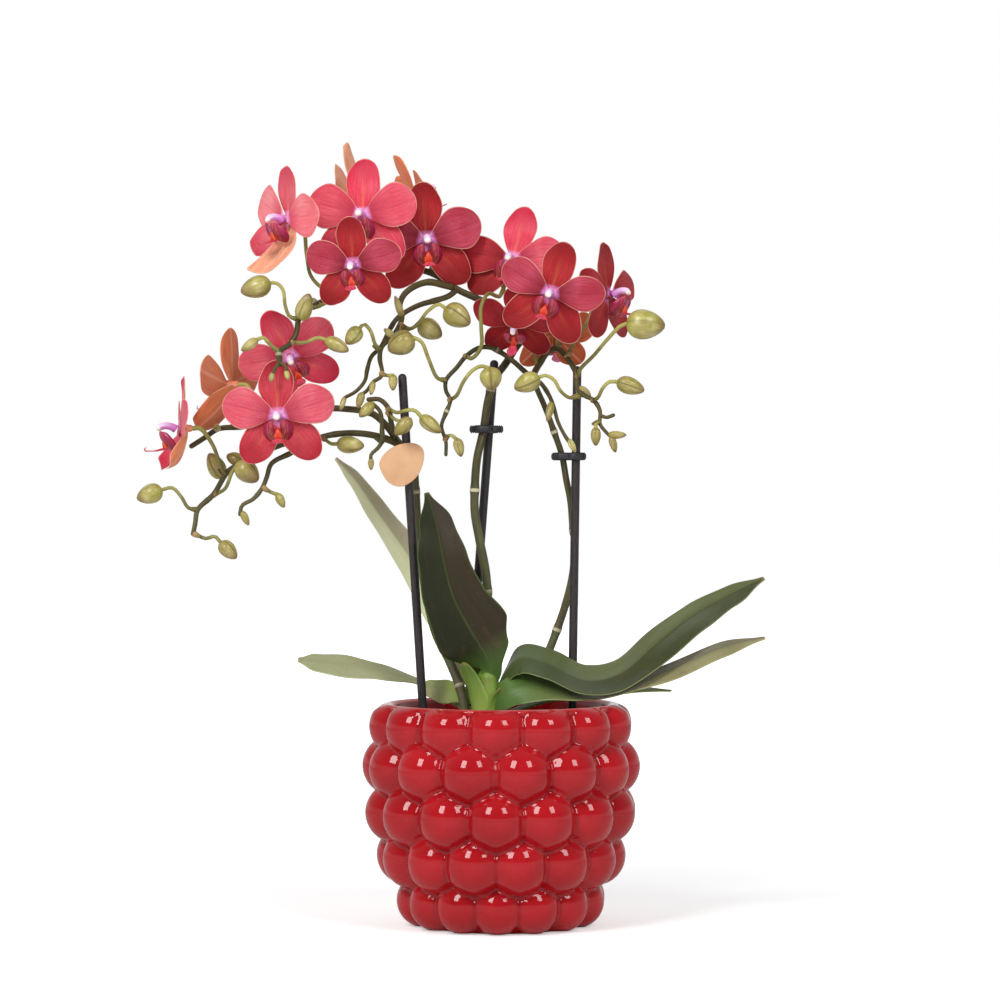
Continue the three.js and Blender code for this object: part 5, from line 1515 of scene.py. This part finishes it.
@dataclass
class StrapLeaf:
    """A strap leaf on its stations: folded along the midrib, its edges curled and slightly waved."""

    node: str
    stations: tuple[Station, ...]
    thickness: float = 1.6
    curl: float = 0.16
    cells: tuple[int, int] = (44, 12)
    seed: int = 0
    waves: tuple[float, ...] = field(init=False)
    spine: Route = field(init=False)
    sides: list[Vector] = field(init=False)

    def __post_init__(self) -> None:
        """Reads the line of the midrib and draws the edge waves."""
        draw = random.Random(self.seed)
        self.waves = tuple(draw.uniform(0, FULL_TURN) for _ in range(4))
        self.spine = Route([station.at for station in self.stations])
        self.sides = [Vector(station.across).normalized() for station in self.stations]

    def half(self, share: float) -> float:
        """Half the blade's width at a share of its length."""
        return eased([station.half for station in self.stations], share)

    def middle(self, u: float, v: float) -> Vector:
        """The blade's middle face.

        Args:
            u: The share of the length.
            v: From -1 to 1 across.

        Returns:
            The point.
        """
        across = Vector([eased([side[axis] for side in self.sides], u) for axis in range(3)])
        along = self.spine.tangent(u)
        across = (across - along * across.dot(along)).normalized()
        half = self.half(u)
        fold = eased([station.fold for station in self.stations], u)
        side = 0 if v < 0 else 1
        wave = 0.05 * half * v * v * math.sin(9 * u + self.waves[side]) * math.sin(math.pi * clamp(u))
        rise = half * (fold * math.sqrt(v * v + 0.0025) - self.curl * v * v) + wave
        width = half * v * (1 + 0.025 * math.sin(14 * u + self.waves[side + 2]))
        return self.spine.point(u) + across * width + along.cross(across) * rise

    def build(self, finishes: Finishes) -> None:
        """Makes the leaf.

        Args:
            finishes: Every finish of the plant.
        """
        piece = Piece(self.node + "_blade")
        piece.blade(
            self.middle, self.cells,
            lambda u, v: self.thickness * (1 - 0.6 * abs(v) ** 3) * (1 - 0.45 * clamp(u) ** 6),
            lambda u, v, side: (u, v * 0.5 + 0.5, min(self.half(u) * (1 - abs(v)), 60 * (1 - u)) / 10, side))
        piece.finish(self.node, "leaf", [finishes.leaves[self.node]], levels=1)


# Flowers


@dataclass
class Tepal:
    """A petal or sepal in its flower's frame: it faces -Y and grows from the centre at its angle."""

    length: float
    width: float
    widest: float
    fullness: float
    root: float
    bend: float
    cup: float
    angle: float
    round: float
    set_back: float = 0.0
    tip_share: float = 0.85
    root_radius: float = 0.5
    groove: float = 0.35
    wave: float = 0.45
    phase: float = 0.0
    twist: float = 0.0
    sweep: float = 0.0
    coat: int = 0
    turned: bool = False

    def half(self, u: float) -> float:
        """Half the tepal's width.

        Args:
            u: The share of the length.

        Returns:
            Half the width there.
        """
        power = math.log(0.5 / self.tip_share) / math.log(self.widest)
        swell = math.sin(math.pi * self.tip_share * clamp(u) ** power)
        return self.width / 2 * max(self.root, swell ** self.fullness)

    def middle(self, u: float, v: float) -> Vector:
        """The tepal's middle face.

        Args:
            u: The share of the length.
            v: From -1 to 1 across.

        Returns:
            The point in the flower's frame.
        """
        turn = math.radians(self.angle)
        half = self.half(u)
        reach = mix(self.root_radius, self.length, u) - self.round * self.length * v * v * u * u
        depth = self.set_back + self.bend * self.length * u * u - self.cup * half * v * v * u
        depth += self.groove * math.exp(-(v / 0.16) ** 2) * math.sin(math.pi * clamp(u) ** 0.7)
        depth += self.wave * u * u * v * v * math.sin(7.5 * u + self.phase + (1.9 if v > 0 else 0))
        depth += self.twist * v * u * u
        across = half * v * (1 + 0.035 * math.sin(9 * u + self.phase + v)) - self.sweep * u * u
        return Vector((math.cos(turn) * reach - math.sin(turn) * across, depth,
                       math.sin(turn) * reach + math.cos(turn) * across))

    def growth(self, u: float, v: float, side: float) -> Growth:
        """Its growth colour: u, v, the distance from the edge in centimetres, and the side."""
        edge = min(self.half(u) * (1 - abs(v)), self.length * (1 - u) * 0.9)
        return (u, v * 0.5 + 0.5, edge / 10, 1.0 - side if self.turned else side)


@dataclass
class Blossom:
    """A flower: three sepals behind two broad petals, a neck behind them, and its lip with the column.

    The tones are those of its right and of its left, copies of one red lightened and darkened as painted
    light and shade.
    """

    number: str
    place: FlowerPlace
    tones: tuple[LitTone, LitTone]
    thickness: float = 0.8
    cells: tuple[int, int] = (13, 10)
    neck_length: float = 6.0
    neck_radius: float = 1.5
    throat_radius: float = 2.4
    throat_front: float = -0.7
    folded_twist: float = 4.5
    left_from: float = -0.3
    last_with_tendrils: int = 12
    tongue_reach: tuple[float, float] = (13.4, 9.0)
    petal: ClassVar[dict[str, float]] = {
        "length": 25.0, "width": 18.0, "widest": 0.66, "fullness": 0.7, "root": 0.12, "bend": 0.08,
        "cup": 0.1, "round": 0.08}
    sepal: ClassVar[dict[str, float]] = {
        "length": 25.0, "width": 15.5, "widest": 0.58, "fullness": 0.72, "root": 0.16, "bend": 0.0,
        "cup": 0.14, "round": 0.09, "coat": 1}

    def tepals(self) -> list[Tepal]:
        """Gives each tepal its own small differences.

        Returns:
            The top sepal, the two lower ones and the two petals.
        """
        draw = random.Random(int(self.number) * 7 + 1)
        lower = [Tepal(**(self.sepal | {"bend": bend}), angle=angle, set_back=set_back)
                 for angle, set_back, bend in self.place.lower.value]
        if self.place.lower is LowerSepals.FOLDED:
            lower[1].turned, lower[1].twist = True, self.folded_twist
        petals = [Tepal(**self.petal, angle=angle) for angle in self.place.petals]
        for petal in petals:
            petal.width *= self.place.breadth
        tepals = [Tepal(**self.sepal, angle=90.0, set_back=2.0), *lower, *petals]
        for tepal in tepals:
            tepal.phase = draw.uniform(0, FULL_TURN)
            tepal.twist += draw.uniform(-0.6, 0.6)
            tepal.length *= draw.uniform(0.97, 1.01)
            tepal.wave *= draw.uniform(0.9, 2.0)
            tepal.sweep = draw.uniform(-0.9, 0.9)
            tepal.coat += 2 if math.cos(math.radians(tepal.angle)) < self.left_from else 0
        return tepals

    def build(self, finishes: Finishes) -> None:
        """Makes the flower and its lip.

        Args:
            finishes: Every finish of the plant.
        """
        placed = self.place.placed()
        bloom = Piece(f"flower_{self.number}")
        for tepal in self.tepals():
            bloom.coat = tepal.coat
            bloom.blade(tepal.middle, self.cells,
                        lambda u, v: self.thickness * (1 - 0.55 * abs(v) ** 4) * (1 - 0.4 * clamp(u) ** 5),
                        tepal.growth, placed)
        neck = Route([placed @ Vector((0, depth, 0)) for depth in (self.throat_front, 2.5, self.neck_length)])
        size = self.place.size
        bloom.coat = 0
        bloom.tube(neck, lambda share, _: size * mix(self.throat_radius, self.neck_radius, share), 14, 1.2,
                   lambda share, run, turn: (0.12 + 0.5 * share, 0.2 + 0.6 * turn, 1.0, clamp(share * 3)))
        coats = [coat for tone in self.tones for coat in finishes.petals[tone]]
        bloom.finish(f"bloom_{self.number}", "petal", coats, levels=1)
        self.build_lip(finishes, placed)

    def build_lip(self, finishes: Finishes, placed: Matrix) -> None:
        """Makes the column with its cap, and the lip with its side lobes, callus, tongue and tendrils.

        Args:
            finishes: Every finish of the plant.
            placed: The move from the flower's frame to its place.
        """
        lip = Piece(f"lip_{self.number}_lobes")
        size = self.place.size

        def route(*points: Point) -> Route:
            """A route through points of the flower's frame."""
            return Route([placed @ Vector(point) for point in points])

        lip.tube(route((0, -1.6, -0.6), (0, -3.6, 0.6), (0, -6.4, 1.2), (0, -8.8, 0.7)),
                 lambda share, _: size * mix(2.1, 1.7, share) * (1 - 0.1 * math.sin(math.pi * share)),
                 14, 0.9, lambda share, run, turn: (share, turn, 0.0, 0.0), dome=True)
        lip.coat = 1
        lip.ball(placed @ Matrix.Translation((0, -9.5, 0.1)), (14, 10),
                 lambda p: Vector((p.x * 1.55, p.y * 1.3, p.z * 1.4 - 0.35 * p.y * p.y)),
                 lambda p: (p.z * 0.5 + 0.5, 0.4, 0.0, 0.0))
        lip.coat = 2
        for side in (-1.0, 1.0):
            lip.blade(lambda u, v: self.side_lobe(u, v, side), (9, 7), lambda u, v: 0.7 * (1 - 0.5 * v ** 4),
                      lambda u, v, back: (u, 0.5 + 0.5 * v, 0.0, back if side > 0 else 1.0 - back), placed)
        lip.coat = 3
        whole = int(self.number) <= self.last_with_tendrils
        reach = self.tongue_reach[0 if whole else 1]
        lip.blade(lambda u, v: self.tongue(u, v, reach), (12, 6),
                  lambda u, v: mix(1.7, 0.6, clamp(u * 1.5)) * (1 - 0.4 * v * v),
                  lambda u, v, side: (u, 0.5 + 0.5 * abs(v), 0.0, side), placed)
        for side in (-1.0, 1.0) if whole else ():
            lip.tube(route((side * 0.35, -15.4, -10.5), (side * 0.8, -16.2, -10.3), (side * 1.4, -16.3, -9.6),
                           (side * 1.6, -15.8, -9.0), (side * 1.3, -15.4, -8.9)),
                     lambda share, _: size * mix(0.4, 0.2, share), 6, 0.9,
                     lambda share, run, turn: (1.0, 1.0, 0.0, 0.0))
        lip.coat = 4
        lip.ball(placed @ Matrix.Translation((0, -6.4, -7.4)), (12, 8),
                 lambda p: Vector((p.x * 1.9 * (1 - 0.2 * p.z), p.y * 1.9, p.z * 2.9)),
                 lambda p: (p.z * 0.5 + 0.5, abs(p.x), 0.0, 0.0))
        coats = [finishes.column, finishes.cap, finishes.lobe, finishes.tongue, finishes.callus]
        lip.finish(f"lip_{self.number}", "lip", coats, levels=1)

    @staticmethod
    def side_lobe(u: float, v: float, side: float) -> Vector:
        """A side lobe: a shell that stands beside the column, its front edge curled towards the other.

        Args:
            u: From its foot to its top.
            v: From its rear edge to its front edge.
            side: -1 for the left lobe and 1 for the right.

        Returns:
            The point in the flower's frame.
        """
        half = 3.6 * math.sin(math.pi * (0.12 + 0.76 * clamp(u))) ** 0.8
        swell = half * (1 - v * v)
        out = 1.9 + 1.9 * math.sin(math.pi * (0.1 + 0.7 * u)) - 0.72 * half * v + 0.25 * swell
        forward = -3.2 - 4.6 * u - 0.85 * half * v - 0.3 * swell
        return Vector((side * out, forward, -10.2 + 8.6 * u + 0.25 * half * v))

    @staticmethod
    def tongue(u: float, v: float, reach: float) -> Vector:
        """The mid-lobe: thick at its root, waisted, widest two thirds out and pointed at the end.

        Args:
            u: From root to end.
            v: From -1 to 1 across.
            reach: How far it runs out.

        Returns:
            The point in the flower's frame.
        """
        half = eased((2.3, 1.7, 1.3, 2.4, 3.0, 2.2, 0.5), u)
        rise = mix(-8.6, -10.6, clamp(u * 1.6)) + 0.35 * half * v * v * (1 - 2.2 * clamp(u - 0.3))
        return Vector((half * v, -2.8 - reach * u, rise))


# Spikes


class StemKind(Enum):
    """A leader or a branch: its mark, the spacing of its nodes, their swelling, and how many sides it has."""

    LEADER = (0.0, 47.0, 0.405, 12)
    BRANCH = (0.5, 24.0, 0.1575, 9)


@dataclass
class FlowerSpike:
    """A flower spike: leader, branches, flower stalks, buds, and a papery bract at every joint."""

    side: str
    spray: Spray
    blossoms: list[Blossom]
    stalk_radius: float = 0.95
    approach: float = 3.0
    gap: float = 0.3
    bud_sink: float = 0.6
    fine_from: float = 6.0
    first_nodes: ClassVar[dict[str, float]] = {"left": 25.0, "middle": 21.0, "right": 15.0}

    def build(self, finishes: Finishes) -> None:
        """Makes the spike.

        Args:
            finishes: Every finish of the plant.
        """
        piece = Piece(f"flower_spike_{self.side}")
        for index, stem in enumerate(self.spray.stems):
            self.stem(piece, stem, StemKind.BRANCH if index else StemKind.LEADER)
        for bud in self.spray.buds:
            if len(bud.stalk) > 1:
                self.stalk(piece, Route(bud.stalk))
            self.bud(piece, bud)
        for blossom in self.blossoms:
            placed = blossom.place.placed()
            end = blossom.neck_length + self.gap / blossom.place.size
            ends = [placed @ Vector((0, end + self.approach, 0)), placed @ Vector((0, end, 0))]
            self.stalk(piece, Route([*blossom.place.stalk, *ends]), swell=0.35)
        piece.finish(f"spike_{self.side}", "stem", [finishes.stem, finishes.bud, finishes.bract])

    def stem(self, piece: Piece, stem: Stem, kind: StemKind) -> None:
        """Adds the leader or a branch, thicker at its nodes.

        Args:
            piece: The piece that it joins.
            stem: The stem.
            kind: Which of the two it is.
        """
        piece.coat = 0
        start, end = stem.radii
        mark, spacing, swell, sides = kind.value
        leads = kind is StemKind.LEADER
        first = self.first_nodes[self.side] if leads else spacing / 2

        def off_node(run: float) -> float:
            """The distance to the nearest node."""
            rest = (run - first) % spacing
            return min(rest, spacing - rest)

        piece.tube(Route(stem.route),
                   lambda share, run: mix(start, end, share) + swell * math.exp(-(off_node(run) / 1.6) ** 2),
                   sides, 1.6,
                   lambda share, run, turn: (run / 100, mark, off_node(run) / 10 if leads else 1.0, turn),
                   dome=True)

    def stalk(self, piece: Piece, route: Route, swell: float = 0.1) -> None:
        """Adds the stalk of a flower or a bud, with the bract at its foot.

        Args:
            piece: The piece that it joins.
            route: Its line.
            swell: How much thicker it grows towards its end.
        """
        piece.coat = 0
        size = self.stalk_radius
        piece.tube(route, lambda share, run: size * (0.86 + swell * share ** 2 + 0.25 * (1 - share) ** 6),
                   8, 1.8, lambda share, run, turn: (run / 100, 1.0 if share > 0.5 else 0.75, 1.0, turn),
                   dome=True)
        self.bract(piece, route)

    def bract(self, piece: Piece, route: Route) -> None:
        """Adds the small pointed scale that clasps a stalk's foot.

        Args:
            piece: The piece that it joins.
            route: The stalk's line.
        """
        piece.coat = 2
        foot = route.frames(1.0)[0][1]

        def scale(u: float, v: float) -> Vector:
            """The bract's middle face.

            Args:
                u: From its foot to its point.
                v: From -1 to 1 round the stalk.

            Returns:
                The point.
            """
            turn = 1.5 * v * (1 - u * 0.85)
            wide = self.stalk_radius + 0.35 + 0.8 * u * u
            return foot @ Vector((wide * math.cos(turn), wide * math.sin(turn), -0.8 + 4.2 * u))

        piece.blade(scale, (5, 4), lambda u, v: 0.3, lambda u, v, side: (u, v * 0.5 + 0.5, 1.0, side))

    def bud(self, piece: Piece, bud: BudPlace) -> None:
        """Adds a bud: an egg with three seams and a small point.

        Args:
            piece: The piece that it joins.
            bud: The bud.
        """
        piece.coat = 1
        root, tip = Vector(bud.stalk[-1]), Vector(bud.tip)
        along = (tip - root).normalized()
        root -= along * self.bud_sink
        length = (tip - root).length
        turned = along.to_track_quat("Z", "Y").to_matrix().to_4x4()
        tone = (tip.x * 0.37 + tip.z * 0.11) % 1.0

        def seam(point: Vector) -> float:
            """How deep in one of the three seams a point of the unit sphere lies."""
            return max(0.0, math.cos(1.5 * math.atan2(point.y, point.x) + tone * 6) ** 2) ** 9

        def egg(point: Vector) -> Vector:
            """Shapes the bud, fuller towards the root and pointed at the tip.

            Args:
                point: A point of the unit sphere.

            Returns:
                Where it goes.
            """
            share = (point.z + 1) / 2
            wide = bud.width / 2 * (1.04 - 0.2 * point.z - 0.12 * share ** 4) * (1 - 0.07 * seam(point))
            wide *= mix(0.97, 1.0, math.cos(12 * math.atan2(point.y, point.x)))
            return Vector((point.x * wide, point.y * wide, length * share))

        segments = (24, 12) if bud.width > self.fine_from else (15, 8)
        piece.ball(Matrix.Translation(root) @ turned, segments, egg,
                   lambda point: ((point.z + 1) / 2, turn_share(point), seam(point), tone))


# Stakes, clips and tag


@dataclass
class Stake:
    """A slim round stake from the bark up behind its spike."""

    side: str
    top: Point
    low: Point
    radius: float = 2.0
    bottom: float = 64.0

    def at(self, height: float) -> Vector:
        """The stake's middle at a height."""
        low, top = Vector(self.low), Vector(self.top)
        return low.lerp(top, (height - low.z) / (top.z - low.z))

    def build(self, finishes: Finishes) -> None:
        """Makes the stake.

        Args:
            finishes: Every finish of the plant.
        """
        piece = Piece(f"round_stake_{self.side}")
        foot = self.at(self.bottom)
        top = Vector(self.top)
        top -= (top - foot).normalized() * self.radius * 0.9
        piece.tube(Route([foot, foot.lerp(top, 0.5), top]), lambda share, run: self.radius * 0.985, 24, 6.0,
                   lambda share, run, turn: (run / 10, turn, 0.0, 0.0), dome=True)
        piece.finish(f"stake_{self.side}", "stake", [finishes.stake])


@dataclass
class Clip:
    """A small clip: a bar with a ring round the stake, a ring round the stem, and ribbed thumb ends."""

    side: str
    height: float
    stake: Stake
    stem: tuple[float, float]
    stem_radius: float
    bar: float
    depth: float = 3.6
    margin: float = 2.3
    play: float = 0.15

    def build(self, finishes: Finishes) -> None:
        """Makes the clip.

        Args:
            finishes: Every finish of the plant.
        """
        piece = Piece(f"spike_clip_{self.side}")
        post = self.stake.at(self.height)
        holds = [(post.x, post.y, self.stake.radius), (*self.stem, self.stem_radius)]
        reach = [radius + self.margin for _, _, radius in holds]
        low = min(y - out for (_, y, _), out in zip(holds, reach))
        high = max(y + out for (_, y, _), out in zip(holds, reach))
        width = max(self.bar, abs(holds[0][0] - holds[1][0]) + sum(reach))
        middle = Vector(((holds[0][0] + holds[1][0]) / 2, (low + high) / 2, self.height))
        self.block(piece, middle, Vector((width, (high - low) * 0.62, self.depth * 0.8)))
        for x, y, radius in holds:
            piece.ring(Vector((x, y, self.height)), radius + self.play, (self.margin, self.depth), 28, 0.6)
        for end in (-1, 1):
            for rib in range(3):
                at = middle + Vector((end * (width / 2 - 0.8 - 0.9 * rib), 0, 0))
                self.block(piece, at, Vector((0.45, (high - low) * 0.7, self.depth * 0.98)))
        piece.finish(f"clip_{self.side}", "clip", [finishes.clip])

    @staticmethod
    def block(piece: Piece, at: Vector, size: Vector) -> None:
        """Adds a block with rounded edges.

        Args:
            piece: The piece that it joins.
            at: Its middle.
            size: Its width, depth and height.
        """
        place = Matrix.Translation(at) @ Matrix.Diagonal((*size, 1))
        verts = bmesh.ops.create_cube(piece.mesh, size=1.0, matrix=place)["verts"]
        piece.soften({edge for vert in verts for edge in vert.link_edges}, min(0.8, min(size) * 0.4))


@dataclass
class Tag:
    """The bare tan plate on the left stake: a rounded leaf-like outline, with a collar behind it."""

    stake: Stake
    height: float = 209.5
    size: tuple[float, float] = (20.5, 20.0)
    thickness: float = 1.2
    shift: float = -2.6
    stand_off: float = 1.4
    collar_height: float = 5.0
    collar_wall: float = 1.3
    play: float = 0.3
    edge: float = 0.3
    first_turn: float = 0.62
    corners: tuple[tuple[float, ...], ...] = (
        (-0.75, -0.6, -0.5, -1, 0, -1), (0, -1, 0.9, -0.7, 1, 0.4), (1, 0.4, 1, 1, 0.3, 1),
        (0.3, 1, -0.7, 0.9, -1, 0.1), (-1, 0.1, -1, -0.2, -0.75, -0.6))

    def outline(self, share: float) -> tuple[float, float]:
        """A point of the plate's outline.

        Args:
            share: The share of the way round.

        Returns:
            Its place across and up, as shares of half the size.
        """
        place = (share % 1.0) * len(self.corners)
        index = min(int(place), len(self.corners) - 1)
        part = place - index
        weights = ((1 - part) ** 2, 2 * part * (1 - part), part * part)
        x, z = (sum(weight * value for weight, value in zip(weights, self.corners[index][axis::2]))
                for axis in (0, 1))
        return x, z

    def build(self, finishes: Finishes) -> None:
        """Makes the tag.

        Args:
            finishes: Every finish of the plant.
        """
        piece = Piece("plant_tag")
        post = self.stake.at(self.height)
        rim = bmesh.ops.create_circle(piece.mesh, cap_ends=True, radius=1.0, segments=60)["verts"]
        inner = self.stake.radius + self.play
        front = post.y - inner - self.stand_off
        for vert in rim:
            x, z = self.outline(turn_share(vert.co) - 0.5 + self.first_turn)
            vert.co = Vector((post.x + self.shift + x * self.size[0] / 2, front,
                              self.height + z * self.size[1] / 2))
        plate = list({face for vert in rim for face in vert.link_faces})
        drawn = bmesh.ops.extrude_face_region(piece.mesh, geom=plate, use_keep_orig=True)["geom"]
        moved = [item for item in drawn if isinstance(item, bmesh.types.BMVert)]
        bmesh.ops.translate(piece.mesh, vec=(0, -self.thickness, 0), verts=moved)
        edges = [edge for edge in piece.mesh.edges if abs(edge.verts[0].co.y - edge.verts[1].co.y) < 1e-6]
        piece.soften(edges, self.edge)
        piece.ring(post, inner, (self.collar_wall, self.collar_height), 24)
        piece.finish("tag", "tag", [finishes.tag])


# Studio


@dataclass
class Studio:
    """A plain white floor, two soft boxes in front, a white surround, and the camera."""

    floor_size: float = 9.0
    # painted brightness of the floor, seen by the camera only: the distances and the strengths of its fade
    floor_glow: tuple[float, ...] = (0.22, 0.8, 0.42, 1.0)
    back_glow: tuple[float, ...] = (-0.6, 0.6, 0.12, 0.55)
    low_glow: tuple[float, ...] = (0.17, 0.24, 0.8, 0.0)
    paper: tuple[str, str] = ("#e9e9e9", "#ededed")
    box_distance: float = 2.0
    box_aim: Point = (0.0, 0.0, 0.16)
    boxes: tuple[tuple[float, ...], ...] = ((-33.0, 36.0, 0.62, 0.95, 25.0), (36.0, 36.0, 0.56, 0.8, 15.0))
    camera_at: Point = (0.0, -1.5, 0.1935)
    lens: float = 118.4
    shift: float = -0.001

    def build(self) -> None:
        """Sets up the floor, the lights, the surround and the camera."""
        self.floor()
        for turn, rise, width, height, power in self.boxes:
            self.soft_box(math.radians(turn), math.radians(rise), width, height, power)
        self.surround()
        camera = bpy.data.objects.new("camera", bpy.data.cameras.new("camera"))
        camera.location = self.camera_at
        camera.rotation_euler = (math.pi / 2, 0, 0)
        camera.data.lens = self.lens
        camera.data.sensor_width = 36.0
        camera.data.shift_x = self.shift
        bpy.context.collection.objects.link(camera)
        bpy.context.scene.camera = camera
        bpy.context.scene.view_settings.view_transform = "Standard"

    def floor(self) -> None:
        """Lays the floor. It glows for camera rays only, a painted brightness that whitens it, weaker near
        the pot so that the shadow there shows.
        """
        mesh = bmesh.new()
        bmesh.ops.create_grid(mesh, x_segments=8, y_segments=8, size=self.floor_size / 2)
        data = bpy.data.meshes.new("floor")
        mesh.to_mesh(data)
        mesh.free()
        recipe = Recipe("floor", 0.9, Emission_Color=(1, 1, 1, 1))
        seen = recipe.node("ShaderNodeLightPath").outputs["Is Camera Ray"]
        away = recipe.node("ShaderNodeVectorMath", {0: recipe.place()}, operation="LENGTH").outputs["Value"]
        fade = recipe.node("ShaderNodeMapRange", dict(enumerate((away, *self.floor_glow)))).outputs[0]
        recipe.feed(recipe.shader.inputs["Emission Strength"], recipe.math("MULTIPLY", seen, fade))
        paper = recipe.noise(recipe.place(), 300.0, 2.0)
        data.materials.append(recipe.done(recipe.blend(paper, *self.paper), paper, 0.02))
        floor = bpy.data.objects.new("floor", data)
        bpy.context.collection.objects.link(floor)

    def soft_box(self, turn: float, rise: float, width: float, height: float, power: float) -> None:
        """Hangs a soft box in front of the plant.

        Args:
            turn: Its direction from straight in front, to the right, in radians.
            rise: Its elevation in radians.
            width: Its width in metres.
            height: Its height in metres.
            power: Its power in watts.
        """
        light = bpy.data.lights.new("soft_box", "AREA")
        light.shape = "RECTANGLE"
        light.size, light.size_y = width, height
        light.energy = power
        towards = Vector((math.sin(turn) * math.cos(rise), -math.cos(turn) * math.cos(rise), math.sin(rise)))
        box = bpy.data.objects.new("soft_box", light)
        box.location = Vector(self.box_aim) + towards * self.box_distance
        box.rotation_euler = towards.to_track_quat("Z", "Y").to_euler()
        bpy.context.collection.objects.link(box)

    def surround(self) -> None:
        """Makes the white surround, dimmer in front and above so that the glaze keeps its depth."""
        world = bpy.data.worlds.new("surround")
        world.use_nodes = True
        bpy.context.scene.world = world
        tree = world.node_tree
        glow = tree.nodes["Background"]
        direction = tree.nodes.new("ShaderNodeTexCoord")
        split = tree.nodes.new("ShaderNodeSeparateXYZ")
        tree.links.new(direction.outputs["Generated"], split.inputs[0])
        seen = tree.nodes.new("ShaderNodeLightPath").outputs["Is Camera Ray"]
        for axis, values in (("Y", self.back_glow), ("Z", self.low_glow)):
            fade = tree.nodes.new("ShaderNodeMapRange")
            for socket, value in zip(("From Min", "From Max", "To Min", "To Max"), values):
                fade.inputs[socket].default_value = value
            tree.links.new(split.outputs[axis], fade.inputs["Value"])
            brighter = tree.nodes.new("ShaderNodeMath")
            brighter.operation = "MAXIMUM"
            tree.links.new(seen, brighter.inputs[0])
            tree.links.new(fade.outputs["Result"], brighter.inputs[1])
            seen = brighter.outputs[0]
        glow.inputs["Color"].default_value = (1, 1, 1, 1)
        tree.links.new(seen, glow.inputs["Strength"])


# Assembly

# each flower's tone paints how it is lit: paler tones are painted light, deeper ones painted shade; the deep
# left of 05 is painted shade
FLOWER_LIT_TONES: dict[str, tuple[LitTone, LitTone]] = {
    **{number: (LitTone.CRIMSON, LitTone.CRIMSON) for number in ("03", "04", "06", "15", "16")},
    **{number: (LitTone.ROSE, LitTone.ROSE) for number in ("10", "11")},
    **{number: (LitTone.DEEP, LitTone.DEEP) for number in ("07", "08")},
    **{number: (LitTone.SHELL, LitTone.SHELL) for number in ("01", "13")},
    **{number: (LitTone.CORAL, LitTone.CORAL) for number in ("02", "09", "12", "14")},
    "05": (LitTone.CORAL, LitTone.DEEP),
}


def main() -> None:
    logging.basicConfig(level=logging.INFO, format="%(message)s")
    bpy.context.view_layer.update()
    finishes = Finishes()
    Cachepot().build(finishes)
    NurseryPot().build(finishes)
    Bark().build(finishes)
    Crown().build(finishes)
    for index, (node, stations) in enumerate(LEAF_STATIONS.items()):
        StrapLeaf(node, stations, seed=index).build(finishes)
    blossoms = [Blossom(number, place, FLOWER_LIT_TONES[number]) for number, place in FLOWER_PLACES.items()]
    for side, spray in SPRAYS.items():
        own = [blossom for blossom in blossoms if blossom.place.spray == side]
        FlowerSpike(side, spray, own).build(finishes)
    for blossom in blossoms:
        blossom.build(finishes)
    stakes = {
        "left": Stake("left", (-45, -4, 251), (-36, 5, 102)),
        "middle": Stake("middle", (-3, 14, 258), (-12, 17, 139)),
        "right": Stake("right", (35, 9, 255), (33, 9, 121)),
    }
    for stake in stakes.values():
        stake.build(finishes)
    Clip("middle", 226.0, stakes["middle"], (-8.0, 8.0), 2.2, 15.5).build(finishes)
    Clip("right", 213.5, stakes["right"], (27.8, 11.1), 2.1, 16.0).build(finishes)
    Tag(stakes["left"]).build(finishes)
    Studio().build()


if __name__ == "__main__":
    main()
